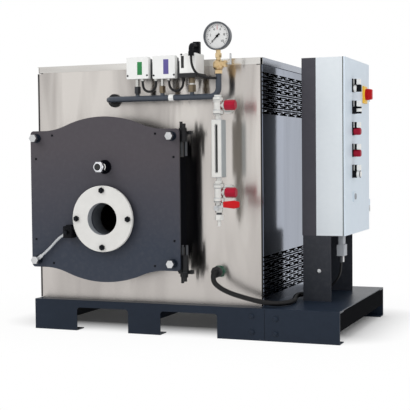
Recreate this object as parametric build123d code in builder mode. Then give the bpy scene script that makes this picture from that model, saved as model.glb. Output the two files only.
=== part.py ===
from build123d import *
import math
import os

os.makedirs("parts", exist_ok=True)

# Frame: millimetres, +Z up, origin on the floor under the middle of the whole plant.
# The burner door faces -Y and the control cabinet stands at +X.

# Skid
BASE_X0 = -631.0
BASE_X1 = 636.0
BASE_Y0 = -355.0
BASE_Y1 = 417.0
BASE_H = 122.0
DECK_T = 3.0
DECK_EDGE_R = 2.0
RAIL_T = 4.0
RAIL_FLANGE = 60.0
SPLIT_X = 348.0
POCKET_H = 93.0
POCKET_R = 12.0
POCKETS = ((-441.0, -215.0), (-77.0, 159.0))
BEAM_W = 60.0
BEAM_H = 70.0
BEAM_X = (BASE_X0 + BEAM_W / 2, -146.0, 230.0, BASE_X1 - BEAM_W / 2)
SPLICE_W = 160.0
SPLICE_T = 6.0

# Casing
CASE_X0 = -635.0
CASE_X1 = 329.0
CASE_Y0 = -300.0
CASE_Y1 = 400.0
CASE_H = 940.0
CASE_Z1 = BASE_H + CASE_H
ROOF_H = 25.0
SEAM_Z = CASE_Z1 - ROOF_H
SEAM_GAP = 3.0
SHEET = 2.0
CORNER_GAP = 4.0
FOLD = 18.0
LAP_UP = 14.0
LAP_DOWN = 16.0
LAP_INSET = 24.0
ROOF_NOTCH = 8.0
SLOT_L = 60.0
SLOT_H = 6.0
SLOT_PITCH_Y = 112.0
SLOT_PITCH_Z = 12.0
SLOT_COLS = 6
SLOT_ROWS = 13
VENT_Y = (CASE_Y0 + CASE_Y1) / 2
VENT_DROP = 108.0
VENT_RISE = 111.0
VENT_UPPER_Z = SEAM_Z - VENT_DROP
VENT_LOWER_Z = BASE_H + VENT_RISE

# Burner door outline: a plate with square ears and ogee crowns above and below
DOOR_W = 639.0
DOOR_MARGIN = 31.5
DOOR_X = CASE_X0 + DOOR_MARGIN + DOOR_W / 2
DOOR_UP = 406.5
DOOR_Z = BASE_H + DOOR_UP
DOOR_EAR = 269.5
DOOR_RISE = 52.0
EAR_FLAT = 60.7
CROWN_SHARE = 0.627
DOOR_CORNER_R = 14.0
DOOR_FRONT = -418.0
DOOR_T = 10.0
LINING_T = 70.0
COLLAR_INSET = 20.0
COLLAR_T = 8.0
LINING_GAP = 14.0

# Burner and sight port
BURNER_SHIFT = 9.0
BURNER_X = DOOR_X + BURNER_SHIFT
BURNER_DROP = 73.5
BURNER_Z = DOOR_Z - BURNER_DROP
BURNER_BORE_R = 62.5
FLANGE_R = 128.0
FLANGE_T = 12.0
FLANGE_CHAMFER = 2.0
SPACER_R = 92.0
SPACER_T = 20.0
FLANGE_PCD = 220.0
FLANGE_HOLE_R = 6.5
SIGHT_RISE = 200.0
SIGHT_Z = BURNER_Z + SIGHT_RISE
SIGHT_BORE_R = 12.0
SIGHT_BASE_R = 30.0
SIGHT_BASE_T = 9.0
SIGHT_TUBE_R = 18.0
SIGHT_TUBE_L = 50.0
SIGHT_NUT_R = 27.0
SIGHT_NUT_L = 16.0
SIGHT_CHAMFER = 2.0

# Door bolts and hinges
BOLT_EDGE = 28.5
BOLT_DX = DOOR_W / 2 - BOLT_EDGE
BOLT_DZ = DOOR_EAR - BOLT_EDGE
BOLT_R = 13.0
BOLT_L = 36.0
BOLT_WASHER_R = 18.0
BOLT_WASHER_T = 4.0
BOLT_HEX_R = 16.0
BOLT_HEAD = 14.0
BOLT_CHAMFER = 1.5
HINGE_OUT = 8.5
HINGE_X = DOOR_X + DOOR_W / 2 + HINGE_OUT
HINGE_Y = -390.0
PIN_R = 8.0
PIN_PLAY = 0.5
KNUCKLE_R = 15.0
UPPER_BARREL_UP = 219.5
UPPER_BARREL_H = 32.0
UPPER_ROD_L = 54.0
LOWER_BARREL_DOWN = 274.5
LOWER_BARREL_H = 64.0
LOWER_ROD_L = 38.0
ROD_SPREAD = 9.0
TIE_ROD_R = 5.0
BRACKET_T = 8.0
BRACKET_D = 46.0
BRACKET_BACK = 4.0
BRACKET_LEG = 98.0
ARM_OUT = 14.0
ARM_D = 20.0
ARM_H = 14.0
HINGE_NUT_R = 13.0
HINGE_NUT_H = 12.0
PIN_TAIL = 28.0
STUD_R = 6.0
STUD_IN = 15.0
STUD_BACK = 8.0
STUD_NUT_R = 10.0
STUD_TAIL = 36.0
# Each hinge: foot of the barrel, its height, the side its plate is on, length of the tie rods
HINGE_LEVELS = (
    (DOOR_Z + UPPER_BARREL_UP, UPPER_BARREL_H, 1, UPPER_ROD_L),
    (DOOR_Z - LOWER_BARREL_DOWN, LOWER_BARREL_H, -1, LOWER_ROD_L),
)

# Pressure vessel
VESSEL_R = 285.0
VESSEL_T = 8.0
TUBE_PLATE_Y = -280.0
TUBE_PLATE_T = 14.0
VESSEL_Y1 = 330.0
WATER_GAP = 38.5
FURNACE_R = VESSEL_R - VESSEL_T - BURNER_DROP - WATER_GAP
FURNACE_T = 8.0
FURNACE_Y1 = 210.0
TUBE_R = 22.0
TUBE_WALL = 3.0
TUBE_STUB = 5.0
INNER_GAP = 40.0
INNER_RING_R = FURNACE_R + INNER_GAP
INNER_SPAN_DEG = (-15.0, 195.0)
INNER_COUNT = 13
RING_STEP = 63.0
OUTER_RING_R = INNER_RING_R + RING_STEP
OUTER_SPAN_DEG = (40.0, 140.0)
OUTER_COUNT = 8
SADDLE_W = 380.0
SADDLE_T = 12.0
SADDLE_UP = 208.0
SADDLE_TOP = BASE_H + SADDLE_UP
SADDLES_Y = (-180.0, 230.0)

# Rear connections
FLUE_COLLAR_R = 95.0
FLUE_COLLAR_T = 4.0
FLUE_R = 75.0
FLUE_T = 3.0
FLUE_END = 480.0
STEAM_RISE = 241.5
STEAM_Z = DOOR_Z + STEAM_RISE
STEAM_R = 21.0
STEAM_FLANGE_R = 70.0
STEAM_FLANGE_T = 16.0
STEAM_PCD = 100.0
STEAM_HOLE_R = 9.0
STEAM_END = 470.0
STUB_R = 17.0
STUB_BORE_R = 13.0
STUB_END = 450.0
STUB_DX = 164.0
STUB_UP = 208.0
STUBS = ((DOOR_X + STUB_DX, BASE_H + STUB_UP), (DOOR_X - STUB_DX, BASE_H + STUB_UP))

# Pressure header and its devices
HEADER_X0 = -286.0
HEADER_X1 = 181.0
HEADER_Y = -375.0
HEADER_UP = 794.0
HEADER_Z = BASE_H + HEADER_UP
HEADER_RISE = 84.0
HEADER_TOP = HEADER_Z + HEADER_RISE
HEADER_R = 11.0
HEADER_BEND = 32.0
HEADER_IN = -285.0
GROMMET_R = 26.0
GROMMET_T = 9.0
STEM_R = 8.0
UNION_RISE = 20.0
UNION_H = 26.0
UNION_R = 13.0
SENDER_STEM_R = 12.0
SENDER_UNION_R = 16.0
BOX_FRONT = 25.0
BOX_Y0 = HEADER_Y - BOX_FRONT
BOX_Y1 = HEADER_Y + BOX_FRONT
SWITCH_LOW_X = -141.0
SWITCH_LOW_W = 92.0
SWITCH_LOW_RISE = 74.0
SWITCH_LOW_H = 84.0
SWITCH_LOW_STEM = -152.0
SWITCH_HIGH_X = -31.0
SWITCH_HIGH_W = 93.0
SWITCH_HIGH_RISE = 72.0
SWITCH_HIGH_H = 87.0
SWITCH_HIGH_STEM = -48.0
SWITCH_R = 4.0
COVER_D = 22.0
COVER_EDGE_R = 1.5
COVER_INSET = 5.0
SENDER_X = 74.0
SENDER_W = 66.0
SENDER_D = 90.0
SENDER_RISE = 87.0
SENDER_H = 75.0
SENDER_EDGE_R = 3.0
SENDER_PLATE_T = 16.0
SENDER_PLATE_OUT = 6.0
WINDOW_W = 12.0
WINDOW_H = 46.0
WINDOW_IN = 7.0
WINDOW_DROP = 10.0
WINDOW_T = 2.0
PLUG_X = 95.0
PLUG_W = 26.0
PLUG_D = 22.0
PLUG_H = 44.0
PLUG_ARM_R = 9.0
PLUG_ARM_BEND = 16.0
PLUG_ARM_OUT = 14.0
PLUG_ARM_DROP = 16.0
PLUG_ARM_L = 24.0
PLUG_NUT_R = 11.5
PLUG_NUT_L = 16.0
CABLE_GLAND_R = 7.0
CABLE_GLAND_HEX_R = 9.0
CABLE_GLAND_HEX_L = 5.0
CABLE_GLAND_L = 10.0
SENDER_Z0 = HEADER_Z + SENDER_RISE
SENDER_Z1 = SENDER_Z0 + SENDER_H
SWITCH_LOW_Z0 = HEADER_Z + SWITCH_LOW_RISE
SWITCH_HIGH_Z0 = HEADER_Z + SWITCH_HIGH_RISE

# Pressure gauge and its cock
COCK_RISE = 36.0
COCK_Z = HEADER_TOP + COCK_RISE
GAUGE_RISE = 103.0
GAUGE_Z = COCK_Z + GAUGE_RISE
GAUGE_R = 53.0
GAUGE_RIM = 6.0
GAUGE_DEPTH = 34.0
GAUGE_RECESS = 9.0
GAUGE_LIP_R = 2.5
GAUGE_BACK_R = 5.0
DIAL_T = 2.0
NECK_HEX_R = 13.0
NECK_HEX_RISE = 24.0
NECK_HEX_H = 16.0
COCK_NUT_R = 15.0
COCK_NUT_H = 13.0
COCK_BULB_R = 20.0
COCK_SHOULDER = 10.0
COCK_ROUND = 6.0
COCK_BODY_R = 12.0
COCK_CAP_R = 14.0
COCK_CAP_L = 9.0
COCK_STEM_R = 9.0
ROD_R = 3.5
ROD_X1 = 232.0
LEVER_L = 42.0
LEVER_W = 9.0
LEVER_T = 5.0

# Level gauge
LEVEL_X = 194.0
LEVEL_Y = -415.0
LEVEL_W = 40.0
LEVEL_D = 50.0
LEVEL_UP = 491.0
LEVEL_H = 214.0
LEVEL_Z0 = BASE_H + LEVEL_UP
LEVEL_Z1 = LEVEL_Z0 + LEVEL_H
LEVEL_CHAMFER = 3.0
LEVEL_SLOT_W = 12.0
LEVEL_SLOT_D = 8.0
LEVEL_SLOT_MARGIN = 16.0
COCK_R = 20.0
COCK_WAIST_R = 16.5
COCK_RING_H = 18.0
COCK_EDGE = 4.0
COCK_TOP_R = 15.0
COCK_TOP_H = 6.0
BONNET_R = 12.0
BONNET_END = 218.0
SHANK_NUT_R = 18.0
SHANK_NUT_L = 14.0
UPPER_NIPPLE_L = 17.0
UPPER_COCK_H = 74.0
UPPER_AXIS_UP = 36.0
LOWER_NIPPLE_L = 13.0
LOWER_COCK_H = 82.0
LOWER_AXIS_UP = 39.0
UPPER_COCK_Z = LEVEL_Z1 + UPPER_NIPPLE_L
LOWER_COCK_Z = LEVEL_Z0 - LOWER_NIPPLE_L - LOWER_COCK_H
UPPER_COCK = (UPPER_COCK_Z, UPPER_COCK_Z + UPPER_COCK_H, UPPER_COCK_Z + UPPER_AXIS_UP)
LOWER_COCK = (LOWER_COCK_Z, LOWER_COCK_Z + LOWER_COCK_H, LOWER_COCK_Z + LOWER_AXIS_UP)
SHANK_R = 13.0
ROSETTE_R = 27.0
ROSETTE_T = 6.0
SPINDLE_R = 6.0
SPINDLE_END = 222.0
KNOB_R = 19.0
KNOB_L = 40.0
KNOB_BORE = 8.0
KNOB_SIDES = 8
KNOB_CHAMFER = 3.0
NIPPLE_R = 10.0
DRAIN_H = 63.0
DRAIN_Z0 = LOWER_COCK_Z - DRAIN_H
DRAIN_TIP = 23.0
DRAIN_TIP_Z = DRAIN_Z0 - DRAIN_TIP
DRAIN_R = 14.0
DRAIN_NUT_R = 17.0
DRAIN_NUT_H = 20.0
DRAIN_WAIST_R = 10.0
DRAIN_WAIST_H = 8.0
DRAIN_TIP_R = 6.0
DRAIN_LEVER_UP = 45.0
DRAIN_LEVER_Z = DRAIN_Z0 + DRAIN_LEVER_UP
DRAIN_LEVER_L = 90.0
DRAIN_NECK_L = 28.0
DRAIN_NECK_W = 15.0
DRAIN_BLADE_ROOT = 30.0
DRAIN_BLADE_TIP = 22.0
DRAIN_BLADE_R = 6.0
DRAIN_LEVER_T = 6.0
DRAIN_PIN_R = 5.0
DRAIN_PIN_L = 16.0

# Pedestal, post and control cabinet
PED_X0 = 425.0
PED_X1 = 537.0
PED_Y0 = -95.0
PED_Y1 = 267.0
PED_H = 257.0
PED_Z1 = BASE_H + PED_H
PED_T = 3.0
POST_X0 = 422.0
POST_X1 = 479.0
POST_D = 262.0
CAB_X1 = 587.0
CAB_Y1 = 329.0
CAB_H = 692.0
CAB_Z1 = PED_Z1 + CAB_H
CAB_T = 2.0
CAB_RIM = 9.0
CAB_DOOR_GAP = 1.0
CAB_DOOR_T = 7.0
CAB_HINGE_R = 6.0
CAB_HINGE_OUT = 8.0
CAB_HINGE_H = 26.0
CAB_HINGE_IN = 101.0
CAB_HINGES_Z = (PED_Z1 + CAB_HINGE_IN, CAB_Z1 - CAB_HINGE_IN - CAB_HINGE_H)
CAB_PIN_R = 3.0
CAB_PIN_PLAY = 0.4
CAB_LEAF_W = 24.0
BACKPLATE_STUD_R = 6.0
BACKPLATE_T = 3.0
BACKPLATE_INSET = 30.0
BACKPLATE_OFF = 12.0
DEVICE_IN = 130.0
DEVICE_Y = PED_Y0 + DEVICE_IN
DEVICE_DROPS = (104.0, 190.0, 274.0, 360.0, 443.0)
SELECTOR_COUNT = 2
DEVICE_R = 14.0
DEVICE_RING_L = 8.0
DEVICE_CHAMFER = 2.0
LENS_R = 11.0
LENS_L = 20.0
LENS_EDGE_R = 5.0
GRIP_L = 26.0
GRIP_W = 9.0
GRIP_OUT = 26.0
LABEL_W = 30.0
LABEL_H = 52.0
LABEL_T = 2.0
LOCK_IN = 153.0
LOCK_UP = 148.0
LOCK_W = 56.0
LOCK_H = 40.0
LOCK_T = 3.0
LOCK_CAM_R = 12.0
LOCK_CAM_L = 4.0
LOCK_KEY = 7.0
MAIN_SWITCH_IN = 93.0
MAIN_SWITCH_DROP = 129.0
SWITCH_Y = CAB_Y1 - MAIN_SWITCH_IN
SWITCH_Z = CAB_Z1 - MAIN_SWITCH_DROP
SWITCH_PLATE = 62.0
SWITCH_PLATE_T = 3.0
SWITCH_KNOB_R = 20.0
SWITCH_KNOB_L = 24.0
SWITCH_GRIP_W = 10.0
GLAND_W = 32.0
GLAND_D = 50.0
GLAND_H = 84.0
GLAND_NECK_H = 40.0
GLAND_NECK_INSET = 5.0
GLAND_OUT = 5.0
GLAND_IN = 65.0
PORT_R = 7.0
PORT_L = 26.0
PORT_SPREAD = 11.0

# Cords: hand-chosen points of each route, then the radius of the cord
LOOP_R = 3.5
LOOP_Y = -388.0
LOOP_UP = 25.0
LOOP_LOW = HEADER_Z + LOOP_UP
LOOP_ENDS = ((-124.0, -68.0), (-14.0, 44.0))
HOSE_R = 11.0
HOSE_X = 152.0
HOSE_UP = 129.0
HOSE_Z = BASE_H + HOSE_UP
HOSE_GLAND_R = 20.0
HOSE_GLAND_L = 45.0
HOSE_HEX_R = 24.0
HOSE_HEX_L = 12.0
HOSE_NUT_R = 22.0
HOSE_NUT_L = 18.0
HOSE_NUT_CHAMFER = 4.0
HOSE = (
    (HOSE_X, CASE_Y0 - HOSE_GLAND_L, HOSE_Z),
    (HOSE_X, -363.0, HOSE_Z),
    (153.0, -377.0, BASE_H + 118.0),
    (160.0, -387.0, BASE_H + 94.0),
    (188.0, -390.0, BASE_H + 74.0),
    (226.0, -384.0, BASE_H + 56.0),
    (280.0, -374.0, BASE_H + 40.0),
    (332.0, -355.0, BASE_H + 25.0),
    (378.0, -318.0, BASE_H + 14.0),
    (408.0, -262.0, BASE_H + 11.5),
    (414.0, -200.0, BASE_H + 11.0),
    (404.0, -138.0, BASE_H + 11.0),
    (390.0, -88.0, BASE_H + 12.0),
    (392.0, -50.0, BASE_H + 16.0),
    (408.0, -38.0, BASE_H + 17.0),
    (PED_X0, -38.0, BASE_H + 17.0),
)
SENDER_CORD_R = 3.0
PLUG_ARM_Y = HEADER_Y - SENDER_D / 2 - PLUG_ARM_OUT
PLUG_ARM_Z = SENDER_Z1 + PLUG_H - PLUG_ARM_DROP
PLUG_END_Z = PLUG_ARM_Z - PLUG_ARM_L - PLUG_NUT_L
SENDER_CORD_END_UP = 67.0
SENDER_CORD_LEAD = 16.0
SENDER_CORD_ANGLE = math.radians(53.0)


def header_side(out):
    return (
        HEADER_X1 - out * math.cos(SENDER_CORD_ANGLE),
        HEADER_Y - out * math.sin(SENDER_CORD_ANGLE),
        HEADER_Z + SENDER_CORD_END_UP,
    )


SENDER_CORD = (
    (PLUG_X, PLUG_ARM_Y, PLUG_END_Z),
    (PLUG_X, PLUG_ARM_Y, PLUG_END_Z - 14.0),
    (PLUG_X + 3.0, PLUG_ARM_Y - 1.0, PLUG_END_Z - 34.0),
    (PLUG_X + 11.0, PLUG_ARM_Y - 1.0, PLUG_END_Z - 54.0),
    (PLUG_X + 24.0, PLUG_ARM_Y + 4.0, PLUG_END_Z - 70.0),
    (PLUG_X + 41.0, PLUG_ARM_Y + 11.0, PLUG_END_Z - 79.0),
    (PLUG_X + 57.0, PLUG_ARM_Y + 23.0, PLUG_END_Z - 82.0),
    header_side(HEADER_R + SENDER_CORD_LEAD),
    header_side(HEADER_R),
)
PORT_X = PED_X1 + GLAND_OUT + GLAND_W / 2
PORT_Y = PED_Y0 + GLAND_IN + GLAND_D / 2 - PORT_SPREAD
PORT_Z = PED_Z1 - GLAND_H - PORT_L
PEDESTAL_CORD_R = 3.5
PEDESTAL_CORD = (
    (PORT_X, PORT_Y, PORT_Z),
    (PORT_X, PORT_Y, PORT_Z - 14.0),
    (PORT_X - 2.0, PORT_Y + 1.0, PORT_Z - 34.0),
    (PORT_X - 9.0, PORT_Y + 2.0, PORT_Z - 56.0),
    (PORT_X - 22.0, PORT_Y + 2.0, PORT_Z - 77.0),
    (PORT_X - 41.0, PORT_Y, PORT_Z - 95.0),
    (PORT_X - 65.0, PORT_Y - 6.0, PORT_Z - 109.0),
    (PORT_X - 91.0, PORT_Y - 14.0, PORT_Z - 119.0),
    (PORT_X - 110.0, PORT_Y - 19.0, PORT_Z - 124.5),
    (PED_X0 + PED_T + 10.0, PORT_Y - 20.0, PORT_Z - 125.5),
    (PED_X0 + PED_T, PORT_Y - 20.0, PORT_Z - 125.5),
)
BRAID_R = 5.5
BRAID_BLOCK_IN = 130.0
BRAID_BLOCK_W = 37.0
BRAID_BLOCK_H = 46.0
BRAID_BLOCK_OUT = 40.0
BRAID_BLOCK_DROP = 53.0
BRAID_BLOCK_X1 = BURNER_X - BRAID_BLOCK_IN
BRAID_BLOCK_X0 = BRAID_BLOCK_X1 - BRAID_BLOCK_W
BRAID_BLOCK_Z = BURNER_Z - BRAID_BLOCK_DROP
BRAID_DROP = 12.0
BRAID_LIFT = 14.0
BRAID_Y = DOOR_FRONT - BRAID_LIFT
BRAID_SHAPE = ((0.0, 0.0), (0.31, 0.32), (0.63, 0.76), (0.86, 1.0), (1.0, 1.0))
BRAID_START = (DOOR_X - BOLT_DX + 0.8 * BOLT_R, DOOR_Z - BOLT_DZ + 0.6 * BOLT_R)
BRAID_END = (BRAID_BLOCK_X0 + BRAID_R, BRAID_BLOCK_Z - BRAID_DROP)
BRAID = tuple(
    (
        BRAID_START[0] + along * (BRAID_END[0] - BRAID_START[0]),
        BRAID_Y,
        BRAID_START[1] + up * (BRAID_END[1] - BRAID_START[1]),
    )
    for along, up in BRAID_SHAPE
)


def door_outline(inset):
    half = DOOR_W / 2 - inset
    ear = DOOR_EAR - inset
    apex = ear + DOOR_RISE
    hollow_x = DOOR_W / 2 - EAR_FLAT
    ogee_r = (hollow_x**2 + DOOR_RISE**2) / (2 * DOOR_RISE)
    crown = CROWN_SHARE * ogee_r - inset
    hollow = ogee_r - crown
    sweep_angle = math.degrees(math.asin(hollow_x / ogee_r))
    with BuildSketch() as outline:
        with BuildLine():
            CenterArc((0, apex - crown), crown, 90 - sweep_angle, sweep_angle)
            CenterArc((hollow_x, ear + hollow), hollow, 270 - sweep_angle, sweep_angle)
            Line((hollow_x, ear), (half, ear))
            Line((half, ear), (half, 0))
            mirror(about=Plane.YZ)
            mirror(about=Plane.XZ)
        make_face()
        corners = [v for v in outline.vertices() if abs(v.X) > half - 1 and abs(v.Y) > ear - 1]
        fillet(corners, DOOR_CORNER_R)
    return outline.sketch


def facing_front(y):
    return Plane(origin=(0, y, 0), x_dir=(1, 0, 0), z_dir=(0, -1, 0))


def facing_right(x):
    return Plane(origin=(x, 0, 0), x_dir=(0, 1, 0), z_dir=(1, 0, 0))


def door_plane(y):
    return Plane(origin=(DOOR_X, y, DOOR_Z), x_dir=(1, 0, 0), z_dir=(0, -1, 0))


def tube_centres():
    centres = []
    for radius, span, count in (
        (INNER_RING_R, INNER_SPAN_DEG, INNER_COUNT),
        (OUTER_RING_R, OUTER_SPAN_DEG, OUTER_COUNT),
    ):
        for index in range(count):
            angle = math.radians(span[0] + (span[1] - span[0]) * index / (count - 1))
            centres.append((BURNER_X + radius * math.cos(angle), BURNER_Z + radius * math.sin(angle)))
    return centres


def slot_centres():
    centres = []
    for vent_z in (VENT_UPPER_Z, VENT_LOWER_Z):
        for row in range(SLOT_ROWS):
            stagger = (row % 2 - 0.5) * SLOT_PITCH_Y / 2
            row_z = vent_z + (row - (SLOT_ROWS - 1) / 2) * SLOT_PITCH_Z
            for column in range(SLOT_COLS):
                column_y = VENT_Y + stagger + (column - (SLOT_COLS - 1) / 2) * SLOT_PITCH_Y
                centres.append((column_y, row_z))
    return centres


def bend_radii(points):
    radii = []
    for before, here, after in zip(points, points[1:], points[2:]):
        into = Vector(here) - Vector(before)
        out = Vector(after) - Vector(here)
        turn = math.radians(into.get_angle(out))
        shorter = min(into.length, out.length)
        radii.append(0.45 * shorter / math.tan(turn / 2))
    print("cord bend radii", [round(radius, 1) for radius in radii])
    return radii


def rail_profile(y, inward):
    with BuildSketch() as profile:
        with Locations((y + inward * RAIL_FLANGE / 2, (BASE_H - DECK_T) / 2)):
            Rectangle(RAIL_FLANGE, BASE_H - DECK_T)
        with Locations((y + inward * (RAIL_FLANGE / 2 + RAIL_T), (BASE_H - DECK_T) / 2)):
            Rectangle(RAIL_FLANGE, BASE_H - DECK_T - 2 * RAIL_T, mode=Mode.SUBTRACT)
    return profile.sketch


RAIL_H = BASE_H - DECK_T
DOOR_FACE = door_outline(0)
COLLAR_FACE = door_outline(COLLAR_INSET)
COLLAR_INNER_FACE = door_outline(COLLAR_INSET + COLLAR_T)
LINING_FACE = door_outline(COLLAR_INSET + COLLAR_T + LINING_GAP)
FRONT_RAIL_FACE = rail_profile(BASE_Y0, 1)
REAR_RAIL_FACE = rail_profile(BASE_Y1, -1)

# Skid: two channel rails with fork pockets, four box beams, two deck plates
for rail_name, rail_y, rail_face in (
    ("skid_front_rail", BASE_Y0, FRONT_RAIL_FACE),
    ("skid_rear_rail", BASE_Y1, REAR_RAIL_FACE),
):
    with BuildPart() as rail:
        with BuildSketch(facing_right(BASE_X0)):
            add(rail_face)
        extrude(amount=SPLIT_X - BASE_X0)
        with BuildSketch(facing_front(rail_y)) as pockets:
            for left, right in POCKETS:
                with Locations(((left + right) / 2, POCKET_H / 2)):
                    Rectangle(right - left, POCKET_H)
            fillet(pockets.vertices().group_by(Axis.Y)[-1], POCKET_R)
        extrude(amount=RAIL_FLANGE, both=True, mode=Mode.SUBTRACT)
    rail.part.label = rail_name
    export_step(rail.part, f"parts/{rail_name}.step")

with BuildPart() as extension:
    for rail_y, inward, rail_face in ((BASE_Y0, 1, FRONT_RAIL_FACE), (BASE_Y1, -1, REAR_RAIL_FACE)):
        with BuildSketch(facing_right(SPLIT_X)):
            add(rail_face)
        extrude(amount=BASE_X1 - SPLIT_X)
        with BuildSketch(facing_front(rail_y + inward * RAIL_T)):
            with Locations((SPLIT_X, RAIL_H / 2)):
                Rectangle(SPLICE_W, RAIL_H - 2 * RAIL_T)
        extrude(amount=-inward * SPLICE_T)
extension.part.label = "extension_rails"
export_step(extension.part, "parts/extension_rails.step")

with BuildPart() as beams:
    with BuildSketch(facing_front(BASE_Y0 + RAIL_T)):
        for beam_x in BEAM_X:
            with Locations((beam_x, RAIL_H - BEAM_H / 2)):
                Rectangle(BEAM_W, BEAM_H)
                Rectangle(BEAM_W - 2 * RAIL_T, BEAM_H - 2 * RAIL_T, mode=Mode.SUBTRACT)
    extrude(amount=BASE_Y0 - BASE_Y1 + 2 * RAIL_T)
    with BuildSketch(facing_right(BASE_X0)):
        for rail_y, inward in ((BASE_Y0, 1), (BASE_Y1, -1)):
            with Locations((rail_y + inward * RAIL_FLANGE / 2, RAIL_H - RAIL_T / 2)):
                Rectangle(RAIL_FLANGE, RAIL_T)
    extrude(amount=BASE_X1 - BASE_X0, mode=Mode.SUBTRACT)
beams.part.label = "skid_cross_beams"
export_step(beams.part, "parts/skid_cross_beams.step")

with BuildPart() as deck:
    with BuildSketch(Plane.XY.offset(RAIL_H)):
        with Locations(((BASE_X0 + BASE_X1) / 2, (BASE_Y0 + BASE_Y1) / 2)):
            Rectangle(BASE_X1 - BASE_X0, BASE_Y1 - BASE_Y0)
    extrude(amount=DECK_T)
    fillet(deck.faces().sort_by(Axis.Z)[-1].edges(), DECK_EDGE_R)
deck.part.label = "skid_deck"
export_step(deck.part, "parts/skid_deck.step")

# Casing: folded sheet panels on the deck, each lapping up inside a roof cap with open corners
CASE_X = (CASE_X0 + CASE_X1) / 2
CASE_Y = (CASE_Y0 + CASE_Y1) / 2
PANEL_TOP = SEAM_Z - SEAM_GAP
PANEL_H = PANEL_TOP - BASE_H
PANEL_Z = (PANEL_TOP + BASE_H) / 2
END_PANEL_W = CASE_X1 - CASE_X0 - 2 * SHEET - 2 * CORNER_GAP
END_LAP_W = CASE_X1 - CASE_X0 - 2 * LAP_INSET
SIDE_PANEL_W = CASE_Y1 - CASE_Y0
SIDE_LAP_W = SIDE_PANEL_W - 2 * LAP_INSET
LAP_H = LAP_DOWN + SEAM_GAP + LAP_UP
LAP_Z = PANEL_TOP - LAP_DOWN


def folded_plan(y, inward):
    with BuildSketch() as plan:
        with Locations((CASE_X, y + inward * FOLD / 2)):
            Rectangle(END_PANEL_W, FOLD)
        with Locations((CASE_X, y + inward * (FOLD / 2 + SHEET))):
            Rectangle(END_PANEL_W - 2 * SHEET, FOLD, mode=Mode.SUBTRACT)
    return plan.sketch


FRONT_PLAN = folded_plan(CASE_Y0, 1)
REAR_PLAN = folded_plan(CASE_Y1, -1)

with BuildPart() as front_panel:
    with BuildSketch(Plane.XY.offset(BASE_H)):
        add(FRONT_PLAN)
    extrude(amount=PANEL_H)
    with BuildSketch(Plane.XY.offset(LAP_Z)):
        with Locations((CASE_X, CASE_Y0 + 1.5 * SHEET)):
            Rectangle(END_LAP_W, SHEET)
    extrude(amount=LAP_H)
    with BuildSketch(door_plane(CASE_Y0)):
        add(COLLAR_FACE)
    extrude(amount=-SHEET, mode=Mode.SUBTRACT)
    with BuildSketch(facing_front(CASE_Y0)):
        with Locations((HEADER_X0, HEADER_Z)):
            Circle(HEADER_R)
        with Locations((LEVEL_X, UPPER_COCK[2]), (LEVEL_X, LOWER_COCK[2])):
            Circle(SHANK_R)
    extrude(amount=-SHEET, mode=Mode.SUBTRACT)
front_panel.part.label = "casing_front_panel"
export_step(front_panel.part, "parts/casing_front_panel.step")

with BuildPart() as rear_panel:
    with BuildSketch(Plane.XY.offset(BASE_H)):
        add(REAR_PLAN)
    extrude(amount=PANEL_H)
    with BuildSketch(Plane.XY.offset(LAP_Z)):
        with Locations((CASE_X, CASE_Y1 - 1.5 * SHEET)):
            Rectangle(END_LAP_W, SHEET)
    extrude(amount=LAP_H)
    with BuildSketch(facing_front(CASE_Y1)):
        with Locations((DOOR_X, DOOR_Z)):
            Circle(FLUE_R)
        with Locations((DOOR_X, STEAM_Z)):
            Circle(STEAM_R)
        with Locations(*STUBS):
            Circle(STUB_R)
    extrude(amount=SHEET, mode=Mode.SUBTRACT)
rear_panel.part.label = "casing_rear_panel"
export_step(rear_panel.part, "parts/casing_rear_panel.step")

with BuildPart() as left_panel:
    with BuildSketch(facing_right(CASE_X0)):
        with Locations((CASE_Y, PANEL_Z)):
            Rectangle(SIDE_PANEL_W, PANEL_H)
    extrude(amount=SHEET)
    with BuildSketch(facing_right(CASE_X0 + SHEET)):
        with Locations((CASE_Y, LAP_Z + LAP_H / 2)):
            Rectangle(SIDE_LAP_W, LAP_H)
    extrude(amount=SHEET)
left_panel.part.label = "casing_left_panel"
export_step(left_panel.part, "parts/casing_left_panel.step")

with BuildPart() as right_panel:
    with BuildSketch(facing_right(CASE_X1)):
        with Locations((CASE_Y, PANEL_Z)):
            Rectangle(SIDE_PANEL_W, PANEL_H)
        with Locations(*slot_centres()):
            Rectangle(SLOT_L, SLOT_H, mode=Mode.SUBTRACT)
    extrude(amount=-SHEET)
    with BuildSketch(facing_right(CASE_X1 - SHEET)):
        with Locations((CASE_Y, LAP_Z + LAP_H / 2)):
            Rectangle(SIDE_LAP_W, LAP_H)
    extrude(amount=-SHEET)
right_panel.part.label = "casing_right_panel"
export_step(right_panel.part, "parts/casing_right_panel.step")

with BuildPart() as roof:
    with BuildSketch(Plane.XY.offset(SEAM_Z)):
        with Locations((CASE_X, CASE_Y)):
            Rectangle(CASE_X1 - CASE_X0, CASE_Y1 - CASE_Y0)
    extrude(amount=CASE_Z1 - SEAM_Z)
    offset(amount=-SHEET, openings=roof.faces().sort_by(Axis.Z)[0])
    with BuildSketch(Plane.XY.offset(SEAM_Z)):
        with Locations((CASE_X, CASE_Y)):
            with GridLocations(CASE_X1 - CASE_X0 - ROOF_NOTCH, CASE_Y1 - CASE_Y0 - ROOF_NOTCH, 2, 2):
                Rectangle(ROOF_NOTCH, ROOF_NOTCH)
    extrude(amount=ROOF_H - SHEET, mode=Mode.SUBTRACT)
roof.part.label = "casing_roof"
export_step(roof.part, "parts/casing_roof.step")

# Smoke box collar, tube plate, furnace, smoke tubes and shell
DOOR_BACK = DOOR_FRONT + DOOR_T

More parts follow.
